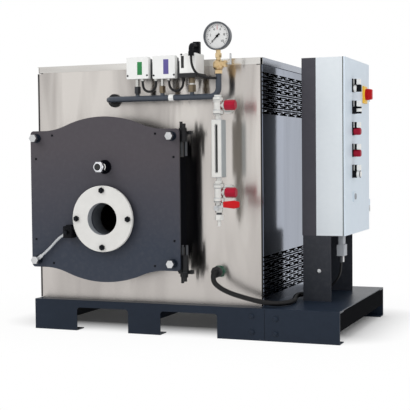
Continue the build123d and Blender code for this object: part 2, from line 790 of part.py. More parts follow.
with BuildPart() as collar:
    with BuildSketch(door_plane(DOOR_BACK)):
        add(COLLAR_FACE)
        add(COLLAR_INNER_FACE, mode=Mode.SUBTRACT)
    extrude(amount=DOOR_BACK - TUBE_PLATE_Y - TUBE_PLATE_T)
collar.part.label = "smoke_box"
export_step(collar.part, "parts/smoke_box.step")

with BuildPart() as tube_plate:
    with BuildSketch(door_plane(TUBE_PLATE_Y)):
        add(COLLAR_INNER_FACE)
    extrude(amount=-TUBE_PLATE_T)
    with BuildSketch(facing_front(TUBE_PLATE_Y)):
        with Locations((BURNER_X, BURNER_Z)):
            Circle(FURNACE_R)
        with Locations(*tube_centres()):
            Circle(TUBE_R)
    extrude(amount=-TUBE_PLATE_T, mode=Mode.SUBTRACT)
tube_plate.part.label = "front_tube_plate"
export_step(tube_plate.part, "parts/front_tube_plate.step")

with BuildPart() as furnace:
    with BuildSketch(facing_front(TUBE_PLATE_Y - TUBE_STUB)):
        with Locations((BURNER_X, BURNER_Z)):
            Circle(FURNACE_R)
    extrude(amount=TUBE_PLATE_Y - TUBE_STUB - FURNACE_Y1)
    offset(amount=-FURNACE_T, openings=furnace.faces().sort_by(Axis.Y)[0])
furnace.part.label = "furnace_tube"
export_step(furnace.part, "parts/furnace_tube.step")

with BuildPart() as tubes:
    with BuildSketch(facing_front(TUBE_PLATE_Y - TUBE_STUB)):
        with Locations(*tube_centres()):
            Circle(TUBE_R)
            Circle(TUBE_R - TUBE_WALL, mode=Mode.SUBTRACT)
    extrude(amount=TUBE_PLATE_Y - TUBE_STUB - VESSEL_Y1)
tubes.part.label = "smoke_tubes"
export_step(tubes.part, "parts/smoke_tubes.step")

REAR_INSIDE = CASE_Y1 - SHEET

with BuildPart() as shell:
    with BuildSketch(door_plane(TUBE_PLATE_Y + TUBE_PLATE_T)):
        Circle(VESSEL_R)
        Circle(VESSEL_R - VESSEL_T, mode=Mode.SUBTRACT)
    extrude(amount=TUBE_PLATE_Y + TUBE_PLATE_T - REAR_INSIDE)
    with BuildSketch(door_plane(VESSEL_Y1)):
        Circle(VESSEL_R)
    extrude(amount=-TUBE_PLATE_T)
    with BuildSketch(facing_front(VESSEL_Y1)):
        with Locations(*tube_centres()):
            Circle(TUBE_R - TUBE_WALL)
    extrude(amount=-TUBE_PLATE_T, mode=Mode.SUBTRACT)
    for saddle_y in SADDLES_Y:
        with BuildSketch(facing_front(saddle_y)):
            with Locations((DOOR_X, (BASE_H + SADDLE_TOP) / 2)):
                Rectangle(SADDLE_W, SADDLE_TOP - BASE_H)
            with Locations((DOOR_X, DOOR_Z)):
                Circle(VESSEL_R - VESSEL_T, mode=Mode.SUBTRACT)
        extrude(amount=-SADDLE_T)
shell.part.label = "vessel_shell"
export_step(shell.part, "parts/vessel_shell.step")

# Flue spigot, steam outlet and water stubs through the rear panel
with BuildPart() as flue:
    with BuildSketch(door_plane(CASE_Y1)):
        Circle(FLUE_COLLAR_R)
    extrude(amount=-FLUE_COLLAR_T)
    with BuildSketch(door_plane(REAR_INSIDE)):
        Circle(FLUE_R)
    extrude(amount=REAR_INSIDE - FLUE_END)
    with BuildSketch(door_plane(REAR_INSIDE)):
        Circle(FLUE_R - FLUE_T)
    extrude(amount=REAR_INSIDE - FLUE_END, mode=Mode.SUBTRACT)
flue.part.label = "flue_spigot"
export_step(flue.part, "parts/flue_spigot.step")

with BuildPart() as nozzles:
    with BuildSketch(facing_front(REAR_INSIDE)):
        with Locations((DOOR_X, STEAM_Z)):
            Circle(STEAM_R)
    extrude(amount=REAR_INSIDE - STEAM_END)
    with BuildSketch(facing_front(STEAM_END - STEAM_FLANGE_T)):
        with Locations((DOOR_X, STEAM_Z)):
            Circle(STEAM_FLANGE_R)
            with PolarLocations(STEAM_PCD / 2, 4, start_angle=45):
                Circle(STEAM_HOLE_R, mode=Mode.SUBTRACT)
    extrude(amount=-STEAM_FLANGE_T)
    with BuildSketch(facing_front(REAR_INSIDE)):
        with Locations(*STUBS):
            Circle(STUB_R)
    extrude(amount=REAR_INSIDE - STUB_END)
    with BuildSketch(facing_front(CASE_Y1)):
        with Locations((DOOR_X, STEAM_Z)):
            Circle(STEAM_R + FLUE_COLLAR_T)
        with Locations(*STUBS):
            Circle(STUB_R + FLUE_COLLAR_T)
    extrude(amount=-FLUE_COLLAR_T)
    with BuildSketch(facing_front(REAR_INSIDE)):
        with Locations((DOOR_X, STEAM_Z)):
            Circle(STEAM_R - RAIL_T)
        with Locations(*STUBS):
            Circle(STUB_BORE_R)
    extrude(amount=REAR_INSIDE - STEAM_END, mode=Mode.SUBTRACT)
nozzles.part.label = "rear_nozzles"
export_step(nozzles.part, "parts/rear_nozzles.step")

# Burner door: plate, lining, flange, sight port, bolts, hinge knuckles, braided hose
with BuildPart() as door:
    with BuildSketch(door_plane(DOOR_FRONT)):
        add(DOOR_FACE)
    extrude(amount=-DOOR_T)
    with BuildSketch(facing_front(DOOR_FRONT)):
        with Locations((BURNER_X, BURNER_Z)):
            Circle(BURNER_BORE_R)
        with Locations((BURNER_X, SIGHT_Z)):
            Circle(SIGHT_BORE_R)
    extrude(amount=-DOOR_T, mode=Mode.SUBTRACT)
door.part.label = "burner_door_plate"
export_step(door.part, "parts/burner_door_plate.step")

with BuildPart() as lining:
    with BuildSketch(door_plane(DOOR_BACK)):
        add(LINING_FACE)
    extrude(amount=-LINING_T)
    with BuildSketch(facing_front(DOOR_BACK)):
        with Locations((BURNER_X, BURNER_Z)):
            Circle(BURNER_BORE_R)
        with Locations((BURNER_X, SIGHT_Z)):
            Circle(SIGHT_BORE_R)
    extrude(amount=-LINING_T, mode=Mode.SUBTRACT)
lining.part.label = "burner_door_lining"
export_step(lining.part, "parts/burner_door_lining.step")

with BuildPart() as flange:
    with BuildSketch(facing_front(DOOR_FRONT)):
        with Locations((BURNER_X, BURNER_Z)):
            Circle(SPACER_R)
    extrude(amount=SPACER_T)
    with BuildSketch(facing_front(DOOR_FRONT - SPACER_T)):
        with Locations((BURNER_X, BURNER_Z)):
            Circle(FLANGE_R)
            with PolarLocations(FLANGE_PCD / 2, 4):
                Circle(FLANGE_HOLE_R, mode=Mode.SUBTRACT)
    extrude(amount=FLANGE_T)
    with BuildSketch(facing_front(DOOR_FRONT)):
        with Locations((BURNER_X, BURNER_Z)):
            Circle(BURNER_BORE_R)
    extrude(amount=SPACER_T + FLANGE_T, mode=Mode.SUBTRACT)
    chamfer(flange.faces().sort_by(Axis.Y)[0].outer_wire().edges(), FLANGE_CHAMFER)
flange.part.label = "burner_flange"
export_step(flange.part, "parts/burner_flange.step")

with BuildPart() as sight:
    with BuildSketch(facing_front(DOOR_FRONT)):
        with Locations((BURNER_X, SIGHT_Z)):
            Circle(SIGHT_BASE_R)
    extrude(amount=SIGHT_BASE_T)
    with BuildSketch(facing_front(DOOR_FRONT)):
        with Locations((BURNER_X, SIGHT_Z)):
            Circle(SIGHT_TUBE_R)
    extrude(amount=SIGHT_TUBE_L)
    with BuildSketch(facing_front(DOOR_FRONT - SIGHT_TUBE_L)):
        with Locations((BURNER_X, SIGHT_Z)):
            RegularPolygon(SIGHT_NUT_R, 6)
    extrude(amount=SIGHT_NUT_L)
    with BuildSketch(facing_front(DOOR_FRONT)):
        with Locations((BURNER_X, SIGHT_Z)):
            Circle(SIGHT_BORE_R)
    extrude(amount=SIGHT_TUBE_L + SIGHT_NUT_L, mode=Mode.SUBTRACT)
    chamfer(sight.faces().sort_by(Axis.Y)[0].outer_wire().edges(), SIGHT_CHAMFER)
sight.part.label = "sight_port"
export_step(sight.part, "parts/sight_port.step")

with BuildPart() as bolts:
    with BuildSketch(door_plane(DOOR_FRONT)):
        with GridLocations(2 * BOLT_DX, 2 * BOLT_DZ, 2, 2):
            Circle(BOLT_WASHER_R)
    extrude(amount=BOLT_WASHER_T)
    with BuildSketch(door_plane(DOOR_FRONT)):
        with GridLocations(2 * BOLT_DX, 2 * BOLT_DZ, 2, 2):
            Circle(BOLT_R)
    extrude(amount=BOLT_L - BOLT_HEAD)
    with BuildSketch(door_plane(DOOR_FRONT - BOLT_L + BOLT_HEAD)):
        with GridLocations(2 * BOLT_DX, 2 * BOLT_DZ, 2, 2):
            RegularPolygon(BOLT_HEX_R, 6)
    extrude(amount=BOLT_HEAD)
    chamfer(bolts.faces().group_by(Axis.Y)[0].edges(), BOLT_CHAMFER)
bolts.part.label = "door_bolts"
export_step(bolts.part, "parts/door_bolts.step")

with BuildPart() as knuckles:
    for barrel_z, barrel_h, side, rod_l in HINGE_LEVELS:
        with BuildSketch(Plane.XY.offset(barrel_z)):
            with Locations((HINGE_X, HINGE_Y)):
                Circle(KNUCKLE_R)
            with Locations((HINGE_X - KNUCKLE_R + PIN_PLAY, (DOOR_BACK + HINGE_Y) / 2)):
                Rectangle(KNUCKLE_R, HINGE_Y - DOOR_BACK)
            with Locations((HINGE_X, HINGE_Y)):
                Circle(PIN_R + PIN_PLAY, mode=Mode.SUBTRACT)
        extrude(amount=barrel_h)
        rod_z = barrel_z if side > 0 else barrel_z + barrel_h
        with BuildSketch(Plane.XY.offset(rod_z)):
            with Locations((HINGE_X, HINGE_Y)):
                with GridLocations(2 * ROD_SPREAD, 0, 2, 1):
                    Circle(TIE_ROD_R)
        extrude(amount=-side * rod_l)
knuckles.part.label = "door_hinge_knuckles"
export_step(knuckles.part, "parts/door_hinge_knuckles.step")

COLLAR_RIGHT = DOOR_X + DOOR_W / 2 - COLLAR_INSET
BRACKET_REACH = HINGE_X + KNUCKLE_R - COLLAR_RIGHT
BRACKET_Y = HINGE_Y + BRACKET_BACK + BRACKET_D / 2

with BuildPart() as brackets:
    for barrel_z, barrel_h, side, rod_l in HINGE_LEVELS:
        near_z = barrel_z + barrel_h + PIN_PLAY if side > 0 else barrel_z - PIN_PLAY
        far_z = near_z + side * BRACKET_T
        barrel_end = barrel_z if side > 0 else barrel_z + barrel_h
        with BuildSketch(Plane.XY.offset(near_z)):
            with Locations((COLLAR_RIGHT + BRACKET_REACH / 2, BRACKET_Y)):
                Rectangle(BRACKET_REACH, BRACKET_D)
            with Locations((HINGE_X, HINGE_Y)):
                Circle(KNUCKLE_R)
        extrude(amount=side * BRACKET_T)
        with BuildSketch(Plane.XY.offset(far_z)):
            with Locations((COLLAR_RIGHT + BRACKET_T / 2, BRACKET_Y)):
                Rectangle(BRACKET_T, BRACKET_D)
        extrude(amount=-side * BRACKET_LEG)
        with BuildSketch(Plane.XY.offset(far_z)):
            with Locations((HINGE_X + KNUCKLE_R + ARM_OUT / 2, HINGE_Y + BRACKET_BACK + ARM_D / 2)):
                Rectangle(ARM_OUT, ARM_D)
        extrude(amount=-side * ARM_H)
        with BuildSketch(Plane.XY.offset(far_z)):
            with Locations((HINGE_X, HINGE_Y)):
                RegularPolygon(HINGE_NUT_R, 6)
            with Locations((HINGE_X - STUD_IN, HINGE_Y + BRACKET_BACK + STUD_BACK)):
                RegularPolygon(STUD_NUT_R, 6)
        extrude(amount=side * HINGE_NUT_H)
        with BuildSketch(Plane.XY.offset(far_z)):
            with Locations((HINGE_X - STUD_IN, HINGE_Y + BRACKET_BACK + STUD_BACK)):
                Circle(STUD_R)
        extrude(amount=side * STUD_TAIL)
        pin_near = barrel_end + side * 2 * PIN_PLAY
        with BuildSketch(Plane.XY.offset(pin_near)):
            with Locations((HINGE_X, HINGE_Y)):
                Circle(PIN_R)
        extrude(amount=far_z + side * PIN_TAIL - pin_near)
brackets.part.label = "hinge_brackets"
export_step(brackets.part, "parts/hinge_brackets.step")

with BuildPart() as braid:
    with BuildLine() as braid_line:
        FilletPolyline(*BRAID, radius=bend_radii(BRAID))
    with BuildSketch(Plane(origin=braid_line.line @ 0, z_dir=braid_line.line % 0)):
        Circle(BRAID_R)
    sweep(path=braid_line.line)
    with BuildSketch(facing_front(DOOR_FRONT)):
        with Locations(((BRAID_BLOCK_X0 + BRAID_BLOCK_X1) / 2, BRAID_BLOCK_Z)):
            RectangleRounded(BRAID_BLOCK_X1 - BRAID_BLOCK_X0, BRAID_BLOCK_H, SWITCH_R)
    extrude(amount=BRAID_BLOCK_OUT)
braid.part.label = "door_braided_hose"
export_step(braid.part, "parts/door_braided_hose.step")

# Pressure header: out of the casing, along the front, then up to the gauge cock
STEMS = (
    (SWITCH_LOW_STEM, SWITCH_LOW_Z0, STEM_R, UNION_R),
    (SWITCH_HIGH_STEM, SWITCH_HIGH_Z0, STEM_R, UNION_R),
    (SENDER_X, SENDER_Z0 - SENDER_PLATE_T, SENDER_STEM_R, SENDER_UNION_R),
)
STEM_OF = {"pressure_switch_low": SWITCH_LOW_STEM, "pressure_switch_high": SWITCH_HIGH_STEM}

with BuildPart() as header:
    with BuildLine() as header_line:
        FilletPolyline(
            (HEADER_X0, HEADER_IN, HEADER_Z),
            (HEADER_X0, HEADER_Y, HEADER_Z),
            (HEADER_X1, HEADER_Y, HEADER_Z),
            (HEADER_X1, HEADER_Y, HEADER_TOP),
            radius=HEADER_BEND,
        )
    with BuildSketch(facing_front(HEADER_IN)):
        with Locations((HEADER_X0, HEADER_Z)):
            Circle(HEADER_R)
    sweep(path=header_line.line)
    for stem_x, stem_top, stem_r, union_r in STEMS:
        with BuildSketch(Plane.XY.offset(HEADER_Z)):
            with Locations((stem_x, HEADER_Y)):
                Circle(STEM_R)
        extrude(amount=UNION_RISE)
        with BuildSketch(Plane.XY.offset(HEADER_Z + UNION_RISE)):
            with Locations((stem_x, HEADER_Y)):
                RegularPolygon(union_r, 6)
        extrude(amount=UNION_H)
        with BuildSketch(Plane.XY.offset(HEADER_Z + UNION_RISE + UNION_H)):
            with Locations((stem_x, HEADER_Y)):
                Circle(stem_r)
        extrude(amount=stem_top - HEADER_Z - UNION_RISE - UNION_H)
header.part.label = "pressure_header"
export_step(header.part, "parts/pressure_header.step")

with BuildPart() as grommet:
    with BuildSketch(facing_front(CASE_Y0)):
        with Locations((HEADER_X0, HEADER_Z)):
            Circle(GROMMET_R)
            Circle(HEADER_R, mode=Mode.SUBTRACT)
    extrude(amount=GROMMET_T)
grommet.part.label = "header_grommet"
export_step(grommet.part, "parts/header_grommet.step")

for switch_name, switch_x, switch_w, switch_z, switch_h, gland_xs in (
    ("pressure_switch_low", SWITCH_LOW_X, SWITCH_LOW_W, SWITCH_LOW_Z0, SWITCH_LOW_H, LOOP_ENDS[0][:1]),
    (
        "pressure_switch_high",
        SWITCH_HIGH_X,
        SWITCH_HIGH_W,
        SWITCH_HIGH_Z0,
        SWITCH_HIGH_H,
        (LOOP_ENDS[0][1], LOOP_ENDS[1][0]),
    ),
):
    with BuildPart() as pressure_switch:
        with BuildSketch(facing_front(BOX_Y1)):
            with Locations((switch_x, switch_z + switch_h / 2)):
                RectangleRounded(switch_w - 2 * COVER_INSET, switch_h - 2 * COVER_INSET, SWITCH_R)
        extrude(amount=BOX_Y1 - BOX_Y0 - COVER_D)
        with BuildSketch(facing_front(BOX_Y0 + COVER_D)):
            with Locations((switch_x, switch_z + switch_h / 2)):
                RectangleRounded(switch_w, switch_h, SWITCH_R)
        extrude(amount=COVER_D)
        fillet(pressure_switch.faces().sort_by(Axis.Y)[0].edges(), COVER_EDGE_R)
        with BuildSketch(Plane.XY.offset(switch_z)):
            with Locations((STEM_OF[switch_name], HEADER_Y)):
                RegularPolygon(UNION_R, 6)
        extrude(amount=COVER_INSET)
        for gland_x in gland_xs:
            with BuildSketch(Plane.XY.offset(switch_z)):
                with Locations((gland_x, LOOP_Y)):
                    RegularPolygon(CABLE_GLAND_HEX_R, 6)
            extrude(amount=-CABLE_GLAND_HEX_L)
            with BuildSketch(Plane.XY.offset(switch_z)):
                with Locations((gland_x, LOOP_Y)):
                    Circle(CABLE_GLAND_R)
            extrude(amount=-CABLE_GLAND_L)
    pressure_switch.part.label = switch_name
    export_step(pressure_switch.part, f"parts/{switch_name}.step")

SENDER_FRONT = HEADER_Y - SENDER_D / 2

with BuildPart() as sender:
    with BuildSketch(Plane.XY.offset(SENDER_Z0)):
        with Locations((SENDER_X, HEADER_Y)):
            RectangleRounded(SENDER_W, SENDER_D, SWITCH_R)
    extrude(amount=SENDER_H)
    fillet(sender.faces().sort_by(Axis.Z)[-1].edges(), SENDER_EDGE_R)
    with BuildSketch(facing_front(SENDER_FRONT)):
        with Locations(
            (SENDER_X - SENDER_W / 2 + WINDOW_IN + WINDOW_W / 2, SENDER_Z1 - WINDOW_DROP - WINDOW_H / 2)
        ):
            Rectangle(WINDOW_W, WINDOW_H)
    extrude(amount=-WINDOW_T, mode=Mode.SUBTRACT)
    with BuildSketch(Plane.XY.offset(SENDER_Z0 - SENDER_PLATE_T)):
        with Locations((SENDER_X, HEADER_Y)):
            RectangleRounded(SENDER_W + 2 * SENDER_PLATE_OUT, SENDER_D + 2 * SENDER_PLATE_OUT, SWITCH_R)
    extrude(amount=SENDER_PLATE_T)
    with BuildSketch(Plane.XY.offset(SENDER_Z0 - SENDER_PLATE_T)):
        with Locations((LOOP_ENDS[1][1], LOOP_Y)):
            Circle(CABLE_GLAND_R)
    extrude(amount=-CABLE_GLAND_L)
sender.part.label = "pressure_transmitter"
export_step(sender.part, "parts/pressure_transmitter.step")

with BuildPart() as plug:
    with BuildSketch(Plane.XY.offset(SENDER_Z1)):
        with Locations((PLUG_X, HEADER_Y)):
            RectangleRounded(PLUG_W, PLUG_D, SWITCH_R)
    extrude(amount=PLUG_H)
    with BuildLine() as plug_line:
        FilletPolyline(
            (PLUG_X, HEADER_Y, PLUG_ARM_Z),
            (PLUG_X, PLUG_ARM_Y, PLUG_ARM_Z),
            (PLUG_X, PLUG_ARM_Y, PLUG_END_Z),
            radius=PLUG_ARM_BEND,
        )
    with BuildSketch(facing_front(HEADER_Y)):
        with Locations((PLUG_X, PLUG_ARM_Z)):
            Circle(PLUG_ARM_R)
    sweep(path=plug_line.line)
    with BuildSketch(Plane.XY.offset(PLUG_END_Z)):
        with Locations((PLUG_X, PLUG_ARM_Y)):
            RegularPolygon(PLUG_NUT_R, 6)
    extrude(amount=PLUG_NUT_L)
plug.part.label = "transmitter_plug"
export_step(plug.part, "parts/transmitter_plug.step")

# Pressure gauge on a three-way cock
GAUGE_FRONT = HEADER_Y - GAUGE_DEPTH / 2

GAUGE_AXIS = Axis((HEADER_X1, GAUGE_FRONT, GAUGE_Z), (0, 1, 0))
GAUGE_CASE_R = GAUGE_R - GAUGE_RIM / 2

with BuildPart() as gauge:
    with BuildSketch(Plane(origin=(HEADER_X1, GAUGE_FRONT, GAUGE_Z))) as gauge_profile:
        with BuildLine():
            Polyline(
                (0, GAUGE_RECESS),
                (GAUGE_R - GAUGE_RIM, GAUGE_RECESS),
                (GAUGE_R - GAUGE_RIM, 0),
                (GAUGE_R, 0),
                (GAUGE_R, GAUGE_RECESS),
                (GAUGE_CASE_R, GAUGE_RECESS),
                (GAUGE_CASE_R, GAUGE_DEPTH),
                (0, GAUGE_DEPTH),
                close=True,
            )
        make_face()
        lip = [v for v in gauge_profile.vertices() if abs(v.Y - GAUGE_FRONT) < DIAL_T]
        fillet(lip, GAUGE_LIP_R)
        back = gauge_profile.vertices().group_by(Axis.Y)[-1].sort_by(Axis.X)[-1:]
        fillet(back, GAUGE_BACK_R)
    revolve(axis=GAUGE_AXIS)
    with BuildSketch(Plane.XY.offset(COCK_Z + COCK_NUT_R)):
        with Locations((HEADER_X1, HEADER_Y)):
            Circle(COCK_STEM_R)
    extrude(amount=GAUGE_Z - GAUGE_R + GAUGE_RIM - COCK_Z - COCK_NUT_R)
    with BuildSketch(Plane.XY.offset(COCK_Z + NECK_HEX_RISE)):
        with Locations((HEADER_X1, HEADER_Y)):
            RegularPolygon(NECK_HEX_R, 6)
    extrude(amount=NECK_HEX_H)
gauge.part.label = "pressure_gauge"
export_step(gauge.part, "parts/pressure_gauge.step")

with BuildPart() as dial:
    with BuildSketch(facing_front(GAUGE_FRONT + GAUGE_RECESS)):
        with Locations((HEADER_X1, GAUGE_Z)):
            Circle(GAUGE_R - GAUGE_RIM)
    extrude(amount=DIAL_T)
dial.part.label = "gauge_dial"
export_step(dial.part, "parts/gauge_dial.step")

COCK_TOP = COCK_Z + COCK_NUT_R

with BuildPart() as gauge_cock:
    with BuildSketch(Plane.XY.offset(HEADER_TOP)):
        with Locations((HEADER_X1, HEADER_Y)):
            RegularPolygon(COCK_NUT_R, 6)
    extrude(amount=COCK_NUT_H)
    with BuildSketch(Plane(origin=(HEADER_X1, HEADER_Y, 0), x_dir=(1, 0, 0), z_dir=(0, -1, 0))):
        with BuildLine():
            FilletPolyline(
                (0, HEADER_TOP + COCK_NUT_H),
                (COCK_BODY_R, HEADER_TOP + COCK_NUT_H),
                (COCK_BULB_R, HEADER_TOP + COCK_NUT_H + COCK_SHOULDER),
                (COCK_BULB_R, COCK_TOP - COCK_SHOULDER),
                (COCK_BODY_R, COCK_TOP),
                (0, COCK_TOP),
                radius=COCK_ROUND,
            )
            Line((0, COCK_TOP), (0, HEADER_TOP + COCK_NUT_H))
        make_face()
    revolve(axis=Axis((HEADER_X1, HEADER_Y, 0), (0, 0, 1)))
    with BuildSketch(facing_right(HEADER_X1)):
        with Locations((HEADER_Y, COCK_Z)):
            Circle(COCK_BODY_R)
    extrude(amount=2 * COCK_BODY_R)
    with BuildSketch(facing_right(HEADER_X1 + 2 * COCK_BODY_R)):
        with Locations((HEADER_Y, COCK_Z)):
            RegularPolygon(COCK_CAP_R, 6)
            Circle(ROD_R, mode=Mode.SUBTRACT)
    extrude(amount=COCK_CAP_L)
gauge_cock.part.label = "gauge_cock"
export_step(gauge_cock.part, "parts/gauge_cock.step")

with BuildPart() as gauge_lever:
    with BuildSketch(facing_right(HEADER_X1 + 2 * COCK_BODY_R)):
        with Locations((HEADER_Y, COCK_Z)):
            Circle(ROD_R)
    extrude(amount=ROD_X1 - HEADER_X1 - 2 * COCK_BODY_R)
    with BuildSketch(facing_right(ROD_X1 - LEVER_T)):
        with Locations((HEADER_Y, COCK_Z + LEVER_L / 2 - LEVER_W / 2)):
            SlotOverall(LEVER_L, LEVER_W, rotation=90)
    extrude(amount=LEVER_T)
gauge_lever.part.label = "gauge_cock_lever"
export_step(gauge_lever.part, "parts/gauge_cock_lever.step")

# Level gauge: two cocks on shanks through the casing, a reflex glass between, a drain below
LEVEL_FRONT = LEVEL_Y - LEVEL_D / 2



def turned_cock(height):
    waist_low = COCK_RING_H + COCK_EDGE
    waist_high = height - COCK_TOP_H - COCK_RING_H - COCK_EDGE
    ring_top = height - COCK_TOP_H
    with BuildSketch() as profile:
        with BuildLine():
            Polyline(
                (0, 0),
                (COCK_R - COCK_EDGE, 0),
                (COCK_R, COCK_EDGE),
                (COCK_R, COCK_RING_H),
                (COCK_WAIST_R, waist_low),
                (COCK_WAIST_R, waist_high),
                (COCK_R, waist_high + COCK_EDGE),
                (COCK_R, ring_top - COCK_EDGE),
                (COCK_TOP_R, ring_top),
                (COCK_TOP_R, height),
                (0, height),
                close=True,
            )
        make_face()
    return profile.sketch


for cock_name, cock in (("upper_gauge_cock", UPPER_COCK), ("lower_gauge_cock", LOWER_COCK)):
    cock_z0, cock_z1, axis_z = cock
    cock_profile = turned_cock(cock_z1 - cock_z0)
    with BuildPart() as cock_body:
        with BuildSketch(Plane(origin=(LEVEL_X, LEVEL_Y, cock_z0), x_dir=(1, 0, 0), z_dir=(0, -1, 0))):
            add(cock_profile)
        revolve(axis=Axis((LEVEL_X, LEVEL_Y, 0), (0, 0, 1)))
        with BuildSketch(facing_front(CASE_Y0 + SHEET)):
            with Locations((LEVEL_X, axis_z)):
                Circle(SHANK_R)
        extrude(amount=CASE_Y0 + SHEET - LEVEL_Y)
        with BuildSketch(facing_front(CASE_Y0)):
            with Locations((LEVEL_X, axis_z)):
                Circle(ROSETTE_R)
        extrude(amount=ROSETTE_T)
        with BuildSketch(facing_front(CASE_Y0 - ROSETTE_T)):
            with Locations((LEVEL_X, axis_z)):
                RegularPolygon(SHANK_NUT_R, 6)
        extrude(amount=SHANK_NUT_L)
        with BuildSketch(facing_right(LEVEL_X)):
            with Locations((LEVEL_Y, axis_z)):
                RegularPolygon(BONNET_R, 6)
        extrude(amount=BONNET_END - LEVEL_X)
        with BuildSketch(facing_right(LEVEL_X)):
            with Locations((LEVEL_Y, axis_z)):
                Circle(SPINDLE_R)
        extrude(amount=SPINDLE_END + KNOB_BORE - LEVEL_X)
        nipple_z = cock_z0 if cock_z0 > LEVEL_Z1 else cock_z1
        housing_z = LEVEL_Z1 if cock_z0 > LEVEL_Z1 else LEVEL_Z0
        with BuildSketch(Plane.XY.offset(min(nipple_z, housing_z))):
            with Locations((LEVEL_X, LEVEL_Y)):
                Circle(NIPPLE_R)
        extrude(amount=abs(nipple_z - housing_z))
    cock_body.part.label = cock_name
    export_step(cock_body.part, f"parts/{cock_name}.step")

for knob_name, axis_z in (("upper_cock_knob", UPPER_COCK[2]), ("lower_cock_knob", LOWER_COCK[2])):
    with BuildPart() as knob:
        with BuildSketch(facing_right(SPINDLE_END)):
            with Locations((LEVEL_Y, axis_z)):
                RegularPolygon(KNOB_R, KNOB_SIDES)
        extrude(amount=KNOB_L)
        chamfer(knob.faces().sort_by(Axis.X)[-1].edges(), KNOB_CHAMFER)
        with BuildSketch(facing_right(SPINDLE_END)):
            with Locations((LEVEL_Y, axis_z)):
                Circle(SPINDLE_R)
        extrude(amount=KNOB_BORE, mode=Mode.SUBTRACT)
    knob.part.label = knob_name
    export_step(knob.part, f"parts/{knob_name}.step")

with BuildPart() as housing:
    with BuildSketch(facing_front(LEVEL_FRONT + LEVEL_D)):
        with Locations((LEVEL_X, (LEVEL_Z0 + LEVEL_Z1) / 2)):
            RectangleRounded(LEVEL_W, LEVEL_Z1 - LEVEL_Z0, SWITCH_R)
    extrude(amount=LEVEL_D)
    chamfer(housing.faces().sort_by(Axis.Y)[0].edges(), LEVEL_CHAMFER)
    with BuildSketch(facing_front(LEVEL_FRONT)):
        with Locations((LEVEL_X, (LEVEL_Z0 + LEVEL_Z1) / 2)):
            SlotOverall(LEVEL_Z1 - LEVEL_Z0 - 2 * LEVEL_SLOT_MARGIN, LEVEL_SLOT_W, rotation=90)
    extrude(amount=-LEVEL_SLOT_D, mode=Mode.SUBTRACT)
housing.part.label = "level_glass_housing"
export_step(housing.part, "parts/level_glass_housing.step")

with BuildPart() as level_glass:
    with BuildSketch(facing_front(LEVEL_FRONT + LEVEL_SLOT_D)):
        with Locations((LEVEL_X, (LEVEL_Z0 + LEVEL_Z1) / 2)):
            SlotOverall(LEVEL_Z1 - LEVEL_Z0 - 2 * LEVEL_SLOT_MARGIN, LEVEL_SLOT_W, rotation=90)
    extrude(amount=LEVEL_SLOT_D / 2)
level_glass.part.label = "level_glass"
export_step(level_glass.part, "parts/level_glass.step")

with BuildPart() as drain:
    with BuildSketch(Plane.XY.offset(DRAIN_Z0)):
        with Locations((LEVEL_X, LEVEL_Y)):
            RegularPolygon(DRAIN_NUT_R, 6)
    extrude(amount=DRAIN_NUT_H)
    with BuildSketch(Plane.XY.offset(DRAIN_Z0 + DRAIN_NUT_H)):
        with Locations((LEVEL_X, LEVEL_Y)):
            Circle(DRAIN_WAIST_R)
    extrude(amount=DRAIN_WAIST_H)
    with BuildSketch(Plane.XY.offset(DRAIN_Z0 + DRAIN_NUT_H + DRAIN_WAIST_H)):
        with Locations((LEVEL_X, LEVEL_Y)):
            Circle(DRAIN_R)
    extrude(amount=LOWER_COCK[0] - DRAIN_Z0 - DRAIN_NUT_H - DRAIN_WAIST_H)
    with BuildSketch(Plane.XY.offset(DRAIN_TIP_Z)):
        with Locations((LEVEL_X, LEVEL_Y)):
            Circle(DRAIN_TIP_R)
    extrude(amount=DRAIN_Z0 - DRAIN_TIP_Z)
    with BuildSketch(facing_front(LEVEL_Y)):
        with Locations((LEVEL_X, DRAIN_LEVER_Z)):
            Circle(DRAIN_PIN_R)
    extrude(amount=DRAIN_R + DRAIN_PIN_L)
drain.part.label = "drain_cock"
export_step(drain.part, "parts/drain_cock.step")

DRAIN_LEVER_Y = LEVEL_Y - DRAIN_R - DRAIN_PIN_L + DRAIN_LEVER_T

with BuildPart() as drain_lever:
    with BuildSketch(Plane(origin=(LEVEL_X, DRAIN_LEVER_Y, DRAIN_LEVER_Z), x_dir=(1, 0, 0), z_dir=(0, -1, 0))) as blade:
        with BuildLine():
            Polyline(
                (0, DRAIN_NECK_W / 2),
                (DRAIN_NECK_L - DRAIN_BLADE_R, DRAIN_NECK_W / 2),
                (DRAIN_NECK_L, DRAIN_BLADE_ROOT / 2),
                (DRAIN_LEVER_L, DRAIN_BLADE_TIP / 2),
                (DRAIN_LEVER_L, -DRAIN_BLADE_TIP / 2),
                (DRAIN_NECK_L, -DRAIN_BLADE_ROOT / 2),
                (DRAIN_NECK_L - DRAIN_BLADE_R, -DRAIN_NECK_W / 2),
                (0, -DRAIN_NECK_W / 2),
                close=True,
            )
        make_face()
        fillet(blade.vertices().group_by(Axis.X)[-1], DRAIN_BLADE_R)
        Circle(DRAIN_NECK_W / 2)
        Circle(DRAIN_PIN_R, mode=Mode.SUBTRACT)
    extrude(amount=DRAIN_LEVER_T)
drain_lever.part.label = "drain_lever"
export_step(drain_lever.part, "parts/drain_lever.step")

